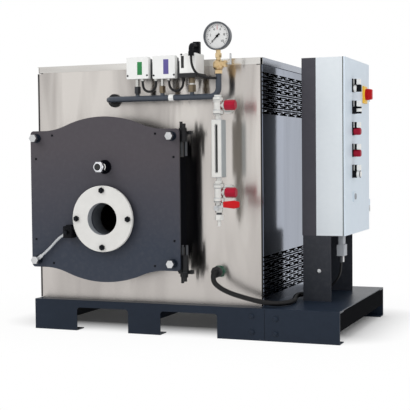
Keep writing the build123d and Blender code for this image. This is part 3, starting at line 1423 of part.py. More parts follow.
# Pedestal and post of folded sheet
with BuildPart() as pedestal:
    with BuildSketch(Plane.XY.offset(BASE_H)):
        with Locations(((PED_X0 + PED_X1) / 2, (PED_Y0 + PED_Y1) / 2)):
            Rectangle(PED_X1 - PED_X0, PED_Y1 - PED_Y0)
    extrude(amount=PED_Z1 - BASE_H)
    open_faces = pedestal.faces().sort_by(Axis.X)[-1:] + pedestal.faces().sort_by(Axis.Z)[:1]
    offset(amount=-PED_T, openings=open_faces)
pedestal.part.label = "cabinet_pedestal"
export_step(pedestal.part, "parts/cabinet_pedestal.step")

with BuildPart() as post:
    with BuildSketch(Plane.XY.offset(PED_Z1)):
        with Locations(((POST_X0 + POST_X1) / 2, PED_Y0 + POST_D / 2)):
            Rectangle(POST_X1 - POST_X0, POST_D)
    extrude(amount=CAB_Z1 - PED_Z1)
    offset(amount=-PED_T, openings=post.faces().sort_by(Axis.Z)[0])
post.part.label = "cabinet_post"
export_step(post.part, "parts/cabinet_post.step")

# Control cabinet, its door and what they carry
CAB_Y = (PED_Y0 + CAB_Y1) / 2
CAB_Z = (PED_Z1 + CAB_Z1) / 2
CAB_W = CAB_Y1 - PED_Y0

with BuildPart() as cabinet:
    with BuildSketch(facing_right(POST_X1)):
        with Locations((CAB_Y, CAB_Z)):
            Rectangle(CAB_W, CAB_H)
    extrude(amount=CAB_X1 - POST_X1)
    offset(amount=-CAB_T, openings=cabinet.faces().sort_by(Axis.X)[-1])
    with BuildSketch(facing_right(CAB_X1 - CAB_T)):
        with Locations((CAB_Y, CAB_Z)):
            Rectangle(CAB_W, CAB_H)
            Rectangle(CAB_W - 2 * CAB_RIM, CAB_H - 2 * CAB_RIM, mode=Mode.SUBTRACT)
    extrude(amount=CAB_T)
cabinet.part.label = "control_cabinet"
export_step(cabinet.part, "parts/control_cabinet.step")

with BuildPart() as backplate:
    with BuildSketch(facing_right(POST_X1 + CAB_T + BACKPLATE_OFF)):
        with Locations((CAB_Y, CAB_Z)):
            Rectangle(CAB_W - 2 * BACKPLATE_INSET, CAB_H - 2 * BACKPLATE_INSET)
    extrude(amount=BACKPLATE_T)
    with BuildSketch(facing_right(POST_X1 + CAB_T)):
        with Locations((CAB_Y, CAB_Z)):
            with GridLocations(CAB_W - 4 * BACKPLATE_INSET, CAB_H - 4 * BACKPLATE_INSET, 2, 2):
                Circle(BACKPLATE_STUD_R)
    extrude(amount=BACKPLATE_OFF)
backplate.part.label = "cabinet_mounting_plate"
export_step(backplate.part, "parts/cabinet_mounting_plate.step")

CAB_DOOR_X0 = CAB_X1 + CAB_DOOR_GAP
CAB_DOOR_X1 = CAB_DOOR_X0 + CAB_DOOR_T
CAB_HINGE_X = (CAB_DOOR_X0 + CAB_DOOR_X1) / 2
CAB_HINGE_Y = CAB_Y1 + CAB_HINGE_OUT

with BuildPart() as cabinet_door:
    with BuildSketch(facing_right(CAB_DOOR_X0)):
        with Locations((CAB_Y, CAB_Z)):
            Rectangle(CAB_W, CAB_H)
    extrude(amount=CAB_DOOR_T)
    offset(amount=-CAB_T, openings=cabinet_door.faces().sort_by(Axis.X)[0])
    with BuildSketch(facing_right(CAB_DOOR_X1)):
        with Locations((PED_Y0 + LOCK_IN, PED_Z1 + LOCK_UP)):
            RectangleRounded(LOCK_W, LOCK_H, SWITCH_R)
    extrude(amount=LOCK_T)
    with BuildSketch(facing_right(CAB_DOOR_X1 + LOCK_T)):
        with Locations((PED_Y0 + LOCK_IN, PED_Z1 + LOCK_UP)):
            Circle(LOCK_CAM_R)
            RegularPolygon(LOCK_KEY, 3, mode=Mode.SUBTRACT)
    extrude(amount=LOCK_CAM_L)
    for hinge_z in CAB_HINGES_Z:
        with BuildSketch(Plane.XY.offset(hinge_z)):
            with Locations((CAB_HINGE_X, CAB_HINGE_Y)):
                Circle(CAB_HINGE_R)
            with Locations((CAB_HINGE_X, CAB_HINGE_Y - CAB_HINGE_OUT / 2)):
                Rectangle(CAB_HINGE_R, CAB_HINGE_OUT)
            with Locations((CAB_HINGE_X, CAB_HINGE_Y)):
                Circle(CAB_PIN_R + CAB_PIN_PLAY, mode=Mode.SUBTRACT)
        extrude(amount=CAB_HINGE_H)
cabinet_door.part.label = "cabinet_door"
export_step(cabinet_door.part, "parts/cabinet_door.step")

with BuildPart() as cabinet_hinges:
    for hinge_z in CAB_HINGES_Z:
        with BuildSketch(Plane.XY.offset(hinge_z - CAB_PIN_PLAY - CAB_HINGE_H)):
            with Locations((CAB_HINGE_X, CAB_HINGE_Y)):
                Circle(CAB_HINGE_R)
            with Locations((CAB_HINGE_X - CAB_LEAF_W / 2, CAB_HINGE_Y - CAB_HINGE_OUT / 2)):
                Rectangle(CAB_LEAF_W, CAB_HINGE_OUT)
            with Locations((CAB_HINGE_X, CAB_Y1)):
                Rectangle(2 * (CAB_HINGE_X - CAB_X1), CAB_HINGE_OUT, mode=Mode.SUBTRACT)
            with Locations((CAB_HINGE_X, CAB_HINGE_Y)):
                Circle(CAB_HINGE_R)
        extrude(amount=CAB_HINGE_H)
        with BuildSketch(Plane.XY.offset(hinge_z - CAB_HINGE_H / 2)):
            with Locations((CAB_HINGE_X, CAB_HINGE_Y)):
                Circle(CAB_PIN_R)
        extrude(amount=1.5 * CAB_HINGE_H)
cabinet_hinges.part.label = "cabinet_hinge_pins"
export_step(cabinet_hinges.part, "parts/cabinet_hinge_pins.step")

with BuildPart() as devices:
    for device_index, device_drop in enumerate(DEVICE_DROPS):
        device_z = CAB_Z1 - device_drop
        with BuildSketch(facing_right(CAB_DOOR_X1)):
            with Locations((DEVICE_Y, device_z)):
                RectangleRounded(LABEL_W, LABEL_H, LABEL_T)
        extrude(amount=LABEL_T)
        with BuildSketch(facing_right(CAB_DOOR_X1 + LABEL_T)):
            with Locations((DEVICE_Y, device_z)):
                Circle(DEVICE_R)
        extrude(amount=DEVICE_RING_L)
        chamfer(devices.faces(Select.LAST).sort_by(Axis.X)[-1].edges(), DEVICE_CHAMFER)
        with BuildSketch(facing_right(CAB_DOOR_X1 + LABEL_T + DEVICE_RING_L)):
            with Locations((DEVICE_Y, device_z)):
                if device_index < SELECTOR_COUNT:
                    SlotOverall(GRIP_L, GRIP_W, rotation=90)
                else:
                    Circle(LENS_R)
        if device_index < SELECTOR_COUNT:
            extrude(amount=GRIP_OUT - DEVICE_RING_L)
        else:
            extrude(amount=LENS_L - DEVICE_RING_L)
            fillet(devices.faces(Select.LAST).sort_by(Axis.X)[-1].edges(), LENS_EDGE_R)
devices.part.label = "control_devices"
export_step(devices.part, "parts/control_devices.step")

with BuildPart() as switch_plate:
    with BuildSketch(facing_right(CAB_DOOR_X1)):
        with Locations((SWITCH_Y, SWITCH_Z)):
            RectangleRounded(SWITCH_PLATE, SWITCH_PLATE, SWITCH_R)
    extrude(amount=SWITCH_PLATE_T)
switch_plate.part.label = "main_switch_plate"
export_step(switch_plate.part, "parts/main_switch_plate.step")

with BuildPart() as switch_knob:
    with BuildSketch(facing_right(CAB_DOOR_X1 + SWITCH_PLATE_T)):
        with Locations((SWITCH_Y, SWITCH_Z)):
            Circle(SWITCH_KNOB_R)
    extrude(amount=SWITCH_KNOB_L / 2)
    with BuildSketch(facing_right(CAB_DOOR_X1 + SWITCH_PLATE_T)):
        with Locations((SWITCH_Y, SWITCH_Z)):
            SlotOverall(2 * SWITCH_KNOB_R - SWITCH_PLATE_T, SWITCH_GRIP_W, rotation=90)
    extrude(amount=SWITCH_KNOB_L)
switch_knob.part.label = "main_switch_knob"
export_step(switch_knob.part, "parts/main_switch_knob.step")

with BuildPart() as gland_box:
    with BuildSketch(Plane.XY.offset(PED_Z1)):
        with Locations((PORT_X, PED_Y0 + GLAND_IN + GLAND_D / 2)):
            RectangleRounded(GLAND_W - 2 * GLAND_NECK_INSET, GLAND_D - 2 * GLAND_NECK_INSET, SWITCH_R)
    extrude(amount=-GLAND_NECK_H)
    with BuildSketch(Plane.XY.offset(PED_Z1 - GLAND_NECK_H)):
        with Locations((PORT_X, PED_Y0 + GLAND_IN + GLAND_D / 2)):
            RectangleRounded(GLAND_W, GLAND_D, SWITCH_R)
    extrude(amount=GLAND_NECK_H - GLAND_H)
    with BuildSketch(Plane.XY.offset(PED_Z1 - GLAND_H)):
        with Locations((PORT_X, PORT_Y), (PORT_X, PORT_Y + 2 * PORT_SPREAD)):
            Circle(PORT_R)
    extrude(amount=-PORT_L)
gland_box.part.label = "cabinet_gland_box"
export_step(gland_box.part, "parts/cabinet_gland_box.step")

# Hose gland on the casing, and the free cords
with BuildPart() as hose_gland:
    with BuildSketch(facing_front(CASE_Y0)):
        with Locations((HOSE_X, HOSE_Z)):
            RegularPolygon(HOSE_HEX_R, 6)
    extrude(amount=HOSE_HEX_L)
    with BuildSketch(facing_front(CASE_Y0)):
        with Locations((HOSE_X, HOSE_Z)):
            Circle(HOSE_GLAND_R)
    extrude(amount=HOSE_GLAND_L - HOSE_NUT_L)
    with BuildSketch(facing_front(CASE_Y0 - HOSE_GLAND_L + HOSE_NUT_L)):
        with Locations((HOSE_X, HOSE_Z)):
            RegularPolygon(HOSE_NUT_R, 8)
    extrude(amount=HOSE_NUT_L)
    chamfer(hose_gland.faces().sort_by(Axis.Y)[0].edges(), HOSE_NUT_CHAMFER)
hose_gland.part.label = "hose_gland"
export_step(hose_gland.part, "parts/hose_gland.step")


def cord(points, radius):
    with BuildPart() as tube:
        with BuildLine() as route:
            FilletPolyline(*points, radius=bend_radii(points))
        with BuildSketch(Plane(origin=route.line @ 0, z_dir=route.line % 0)):
            Circle(radius)
        sweep(path=route.line)
    return tube.part


def loop_route(left, right, top_left, top_right):
    half = (right - left) / 2
    middle = (left + right) / 2
    reach = half / math.cos(math.pi / 8)
    corners = []
    for eighth in (9, 11, 13, 15):
        angle = eighth * math.pi / 8
        corners.append((middle + reach * math.cos(angle), LOOP_Y, LOOP_LOW + half + reach * math.sin(angle)))
    return ((left, LOOP_Y, top_left), *corners, (right, LOOP_Y, top_right))


CORDS = {
    "switch_cable_loop": (
        loop_route(*LOOP_ENDS[0], SWITCH_LOW_Z0 - CABLE_GLAND_L, SWITCH_HIGH_Z0 - CABLE_GLAND_L),
        LOOP_R,
    ),
    "transmitter_cable_loop": (
        loop_route(*LOOP_ENDS[1], SWITCH_HIGH_Z0 - CABLE_GLAND_L, SENDER_Z0 - SENDER_PLATE_T - CABLE_GLAND_L),
        LOOP_R,
    ),
    "transmitter_cable": (SENDER_CORD, SENDER_CORD_R),
    "conduit_hose": (HOSE, HOSE_R),
    "pedestal_cable": (PEDESTAL_CORD, PEDESTAL_CORD_R),
}
for cord_name, (cord_points, cord_radius) in CORDS.items():
    cord_part = cord(cord_points, cord_radius)
    cord_part.label = cord_name
    export_step(cord_part, f"parts/{cord_name}.step")
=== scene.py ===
import bpy
import bmesh
import math
from mathutils import Matrix, Vector


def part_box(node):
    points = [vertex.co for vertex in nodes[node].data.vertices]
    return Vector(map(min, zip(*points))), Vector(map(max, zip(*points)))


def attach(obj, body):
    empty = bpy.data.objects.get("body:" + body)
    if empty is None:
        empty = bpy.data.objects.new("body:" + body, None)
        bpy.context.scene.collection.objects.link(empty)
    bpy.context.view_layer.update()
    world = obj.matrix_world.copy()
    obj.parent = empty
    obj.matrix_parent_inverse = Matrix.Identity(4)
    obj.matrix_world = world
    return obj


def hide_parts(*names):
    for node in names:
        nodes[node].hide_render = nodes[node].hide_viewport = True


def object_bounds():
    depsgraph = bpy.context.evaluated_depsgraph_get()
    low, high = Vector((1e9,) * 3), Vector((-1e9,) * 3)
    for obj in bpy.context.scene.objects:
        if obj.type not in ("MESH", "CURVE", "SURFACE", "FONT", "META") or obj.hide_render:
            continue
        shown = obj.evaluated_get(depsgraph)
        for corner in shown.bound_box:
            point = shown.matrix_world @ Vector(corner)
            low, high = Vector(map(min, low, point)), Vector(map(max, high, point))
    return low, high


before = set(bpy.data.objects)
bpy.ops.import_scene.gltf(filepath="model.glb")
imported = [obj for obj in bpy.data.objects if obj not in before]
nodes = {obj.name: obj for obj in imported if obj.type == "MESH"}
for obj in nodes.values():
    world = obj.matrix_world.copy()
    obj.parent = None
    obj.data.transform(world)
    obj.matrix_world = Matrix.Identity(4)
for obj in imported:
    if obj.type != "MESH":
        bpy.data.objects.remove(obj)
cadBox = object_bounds()
scene = bpy.context.scene
mm = 0.001
far = 5000  # past every edge of the boiler, in millimetres
zoneEdge = 0.0003  # half the width of the soft line between two stuffs
facing = 0.9  # how squarely a face looks along an axis when it is picked
origin, toFront, toRear, toRight = (0, 0, 0), (0, -1, 0), (0, 1, 0), (1, 0, 0)

# the camera stands where the photograph was taken
viewpoint = {
    "place": (1.5563, -4.0574, 0.68335),
    "heading": 21.279, "dip": 2.534, "roll": -0.526,
    "lens": 91.97, "sensor": 36.0,
}


def placeCamera(spec):
    data = bpy.data.cameras.new("photoCamera")
    data.lens = spec["lens"]
    data.sensor_width = spec["sensor"]
    camera = bpy.data.objects.new("photoCamera", data)
    turn = (Matrix.Rotation(math.radians(spec["heading"]), 4, "Z")
            @ Matrix.Rotation(math.radians(90 - spec["dip"]), 4, "X")
            @ Matrix.Rotation(math.radians(spec["roll"]), 4, "Z"))
    camera.matrix_world = Matrix.Translation(spec["place"]) @ turn
    scene.collection.objects.link(camera)
    scene.camera = camera


placeCamera(viewpoint)
scene.view_settings.view_transform = "Standard"
print("camera placed")


# shader sockets that take part in Python sums
class Wire:
    def __init__(self, finish, socket):
        self.finish = finish
        self.socket = socket

    def sum(self, operation, first, second):
        return self.finish.node("ShaderNodeMath", {"operation": operation}, {0: first, 1: second})

    def __add__(self, other):
        return self.sum("ADD", self, other)

    def __radd__(self, other):
        return self.sum("ADD", other, self)

    def __sub__(self, other):
        return self.sum("SUBTRACT", self, other)

    def __rsub__(self, other):
        return self.sum("SUBTRACT", other, self)

    def __mul__(self, other):
        return self.sum("MULTIPLY", self, other)

    def __rmul__(self, other):
        return self.sum("MULTIPLY", other, self)

    def __truediv__(self, other):
        return self.sum("DIVIDE", self, other)

    def __pow__(self, other):
        return self.sum("POWER", self, other)


class Finish:
    def __init__(self, name, **constants):
        self.material = bpy.data.materials.new(name)
        self.material.use_nodes = True
        self.tree = self.material.node_tree
        self.shader = self.tree.nodes["Principled BSDF"]
        for socket, value in constants.items():
            self.shader.inputs[socket.replace("_", " ")].default_value = value
        self.place = self.node("ShaderNodeTexCoord", output="Object")

    def node(self, kind, settings=None, sockets=None, output=0):
        made = self.tree.nodes.new(kind)
        for key, value in (settings or {}).items():
            setattr(made, key, value)
        for key, value in (sockets or {}).items():
            self.plug(made.inputs[key], value)
        return Wire(self, made.outputs[output])

    def plug(self, socket, value):
        if isinstance(value, Wire):
            self.tree.links.new(value.socket, socket)
        else:
            socket.default_value = value

    def drive(self, **sockets):
        for socket, value in sockets.items():
            self.plug(self.shader.inputs[socket.replace("_", " ")], value)

    # patterns that several finishes share
    def noise(self, scale, detail=3.0, stretch=(1, 1, 1), rough=0.55, bend=0.0):
        spot = self.node("ShaderNodeMapping", sockets={"Vector": self.place, "Scale": stretch})
        return self.node("ShaderNodeTexNoise", sockets={
            "Vector": spot, "Scale": scale, "Detail": detail, "Roughness": rough, "Distortion": bend})

    def band(self, value, low, high):
        return self.node("ShaderNodeMapRange", {"clamp": True}, {
            "Value": value, "From Min": low, "From Max": high})

    def between(self, value, low, high):
        return (self.band(value, low - zoneEdge, low + zoneEdge)
                * (1 - self.band(value, high - zoneEdge, high + zoneEdge)))

    def blend(self, share, first, second):
        return self.node("ShaderNodeMix", {"data_type": "RGBA"}, {0: share, 6: first, 7: second}, output=2)

    def axis(self, name):
        return self.node("ShaderNodeSeparateXYZ", sockets={0: self.place}, output=name)

    def wave(self, value, pitch):
        return self.node("ShaderNodeMath", {"operation": "SINE"}, {0: value * (2 * math.pi / pitch)})

    def relief(self, height, strength, distance):
        self.drive(Normal=self.node("ShaderNodeBump", sockets={
            "Strength": strength, "Distance": distance, "Height": height}))


def tone(red, green, blue):
    parts = [value / 255 for value in (red, green, blue)]
    return tuple(c / 12.92 if c < 0.04045 else ((c + 0.055) / 1.055) ** 2.4 for c in parts) + (1.0,)


# brushed sheet: broad smears that run up the panel, in its roughness and, as painted reflections, in its
# colour; a foot painted darker as a reflection of the floor; and a slow wave in the sheet
sheetLook = {
    "turn": 0.25,  # a quarter turn, so that reflections smear up and down
    "cloudShare": 0.55, "contrast": (0.38, 0.6), "grainScale": 40,
    "paintedFloorReflectionReach": (0.14, 0.85), "paintedFloorReflectionShare": 0.7, "paintedFloorReflectionDrift": 0.3,  # heights in metres, for the foot that is painted darker as a reflection of the floor
    "foldWidth": 0.5, "waveDepth": 0.006,
}


def steelSheet(name, dark, light, foot, smooth, fine, broad, sway, wave=0.22, fold=None, brushed=0.95):
    look = sheetLook
    finish = Finish(name, Metallic=1.0, Anisotropic=brushed, Anisotropic_Rotation=look["turn"])
    smear = finish.noise(1.0, 2.0, fine, 0.5, 0.8)
    cloud = finish.noise(1.0, 1.5, broad, 0.5, 1.1)
    grain = finish.noise(1.0, 2.0, [side * look["grainScale"] for side in fine])
    # painted reflection: broad darker and lighter smears in the sheet's colour
    paintedReflectionStreak = smear * (1 - look["cloudShare"]) + cloud * look["cloudShare"]
    sheet = finish.blend(finish.band(paintedReflectionStreak, *look["contrast"]), dark, light)
    # painted reflection of the floor: the sheet turns darker towards its foot
    height = finish.axis("Z") + cloud * look["paintedFloorReflectionDrift"] - look["paintedFloorReflectionDrift"] / 2
    low = 1 - finish.band(height, *look["paintedFloorReflectionReach"])
    colour = finish.blend(low * look["paintedFloorReflectionShare"], sheet, foot)
    if fold:  # the turned-down edge past a limit on X, in millimetres, painted a darker tone as shade
        limit, foldShadeTone = fold
        past = finish.band(finish.axis("X"), limit * mm, (limit + look["foldWidth"]) * mm)
        colour = finish.blend(past, colour, foldShadeTone)
    finish.drive(Base_Color=colour,
                 Roughness=smooth + smear * 0.04 + cloud * 0.05 + grain * 0.02)
    finish.relief(finish.noise(1.0, 1.0, sway, 0.4), wave, look["waveDepth"])
    return finish.material


# sprayed paint: a slow drift of tone, a little dust, and the peel of its skin
def paint(name, colour, worn, gloss, peel=900.0, shine=0.5, relief=0.12):
    finish = Finish(name, Specular_IOR_Level=shine)
    cloud = finish.noise(3.5, 3.0)
    dust = finish.noise(55.0, 4.0)
    skin = finish.noise(peel, 2.0)
    finish.drive(Base_Color=finish.blend(finish.band(cloud * 0.7 + dust * 0.3, 0.3, 0.75), colour, worn),
                 Roughness=gloss + cloud * 0.12 - dust * 0.06)
    finish.relief(skin, relief, 0.0006)
    return finish.material


# satin paint that shifts from one tone at its foot to another at its head: a painted reflection of the floor
# and backdrop, darker towards the foot
def paintedReflectionFade(name, foot, head, low, high, gloss):
    finish = Finish(name, Specular_IOR_Level=0.25)
    cloud = finish.noise(3.0, 3.0)
    dust = finish.noise(70.0, 4.0)
    skin = finish.noise(760.0, 2.0)
    # painted reflection: the tone rises from the foot's to the head's with height
    rise = finish.band(finish.axis("Z") + cloud * 0.16 - 0.08, low * mm, high * mm)
    soft = finish.blend(rise, foot, head)
    finish.drive(Base_Color=finish.blend(finish.band(dust, 0.45, 0.8) * 0.14, soft, tone(96, 96, 99)),
                 Roughness=gloss + cloud * 0.1 + dust * 0.05)
    finish.relief(skin, 0.14, 0.0006)
    return finish.material


# turned or plated metal: spots of tone and fine lines round the piece
def metal(name, dark, light, smooth, scale=70.0):
    finish = Finish(name, Metallic=1.0)
    spots = finish.noise(scale, 4.0)
    lines = finish.noise(1.0, 3.0, (60, 60, 1400))
    finish.drive(Base_Color=finish.blend(finish.band(spots, 0.3, 0.7), dark, light),
                 Roughness=smooth + spots * 0.14 + lines * 0.08)
    finish.relief(lines, 0.08, 0.0003)
    return finish.material


def plastic(name, colour, faded, gloss, grain=1400.0, shine=0.5):
    finish = Finish(name, Specular_IOR_Level=shine)
    cloud = finish.noise(14.0, 3.0)
    skin = finish.noise(grain, 2.0)
    finish.drive(Base_Color=finish.blend(cloud, colour, faded), Roughness=gloss + cloud * 0.1)
    finish.relief(skin, 0.1, 0.0003)
    return finish.material


# the stuffs that one node can mix: colour, its worn tone, gloss and share of metal
stock = {
    "nickel": (tone(178, 178, 176), tone(216, 215, 211), 0.2, 1.0),
    "bronze": (tone(104, 93, 78), tone(144, 131, 111), 0.34, 1.0),
    "darkSteel": (tone(36, 37, 41), tone(60, 62, 66), 0.4, 0.4),
    "black": (tone(18, 18, 20), tone(32, 32, 34), 0.42, 0.0),
    "charcoal": (tone(58, 60, 64), tone(76, 78, 82), 0.45, 0.0),
    "slate": (tone(52, 58, 68), tone(68, 74, 84), 0.34, 0.0),
    "paleGrey": (tone(210, 209, 206), tone(224, 223, 220), 0.46, 0.0),
    "midGrey": (tone(150, 154, 160), tone(176, 180, 185), 0.45, 0.0),
    "shellWhite": (tone(226, 227, 226), tone(236, 236, 234), 0.38, 0.0),
    "white": (tone(236, 236, 234), tone(246, 246, 244), 0.35, 0.0),
    "green": (tone(20, 70, 54), tone(36, 96, 74), 0.38, 0.0),
    "zinc": (tone(182, 184, 186), tone(222, 222, 223), 0.22, 1.0),
    # paint of the cabinet door: the body's paint set a little darker and bluer as painted shade
    "cabinet": (tone(211, 224, 236), tone(221, 232, 242), 0.42, 0.0),
    "castGrey": (tone(206, 206, 203), tone(226, 225, 221), 0.36, 0.25),
    # grey-blue for a painted shade on a side face
    "paintedShadeGrey": (tone(146, 154, 158), tone(170, 177, 179), 0.34, 0.3),
    "postGrey": (tone(66, 65, 72), tone(78, 77, 83), 0.44, 0.0),
    "brassTone": (tone(196, 170, 128), tone(228, 206, 166), 0.2, 1.0),
    "gaugeSteel": (tone(62, 65, 70), tone(112, 115, 120), 0.28, 0.9),
    # near black for a painted shadow
    "paintedShadowBlack": (tone(4, 5, 8), tone(9, 10, 13), 0.85, 0.0),
    "pitch": (tone(7, 8, 11), tone(15, 16, 20), 0.36, 0.0),
    "inkSteel": (tone(22, 28, 38), tone(34, 42, 54), 0.36, 0.2),
    "skid": (tone(21, 30, 43), tone(31, 41, 55), 0.4, 0.0),
    "fireclay": (tone(186, 178, 162), tone(206, 199, 184), 0.85, 0.0),
    "boreGrey": (tone(84, 88, 94), tone(108, 112, 117), 0.6, 0.0),
}


# one node of several stuffs, told apart by where they are, in millimetres
def zonedFinish(name, base, zones, grain=1100.0, thread=None, shine=0.4):
    finish = Finish(name, Specular_IOR_Level=shine)
    cloud = finish.noise(26.0, 3.0)
    colour = finish.blend(cloud, *stock[base][:2])
    gloss = stock[base][2] + cloud * 0.1
    sheen = stock[base][3]
    mixed = any(stock[stuff][3] != sheen for limits, stuff in zones)
    places = {letter: finish.axis(letter) for letter in "XYZ"}
    for limits, stuff in zones:
        mask = 1
        for letter, limit in limits.items():
            if letter in places:
                mask = finish.between(places[letter], limit[0] * mm, limit[1] * mm) * mask
            else:  # a round zone about an axis: two letters, the centre and the radius
                across = [places[part] - spot * mm for part, spot in zip(letter, limit[:2])]
                reach = (across[0] * across[0] + across[1] * across[1]) ** 0.5
                mask = (1 - finish.band(reach, limit[2] * mm - zoneEdge, limit[2] * mm + zoneEdge)) * mask
        colour = finish.blend(mask, colour, finish.blend(cloud, *stock[stuff][:2]))
        gloss = gloss + mask * (stock[stuff][2] - gloss)
        if mixed:
            sheen = sheen + mask * (stock[stuff][3] - sheen)
    height = finish.noise(grain, 2.0)
    if thread:  # fine turns on the studs above and below the two heights
        ends = finish.band(places["Z"], thread[1] * mm, (thread[1] + 1) * mm) + (
            1 - finish.band(places["Z"], (thread[0] - 1) * mm, thread[0] * mm))
        height = height * 0.2 + finish.wave(places["Z"], thread[2] * mm) * ends
    finish.drive(Base_Color=colour, Roughness=gloss, Metallic=sheen)
    finish.relief(height, 0.14, 0.0005)
    return finish.material


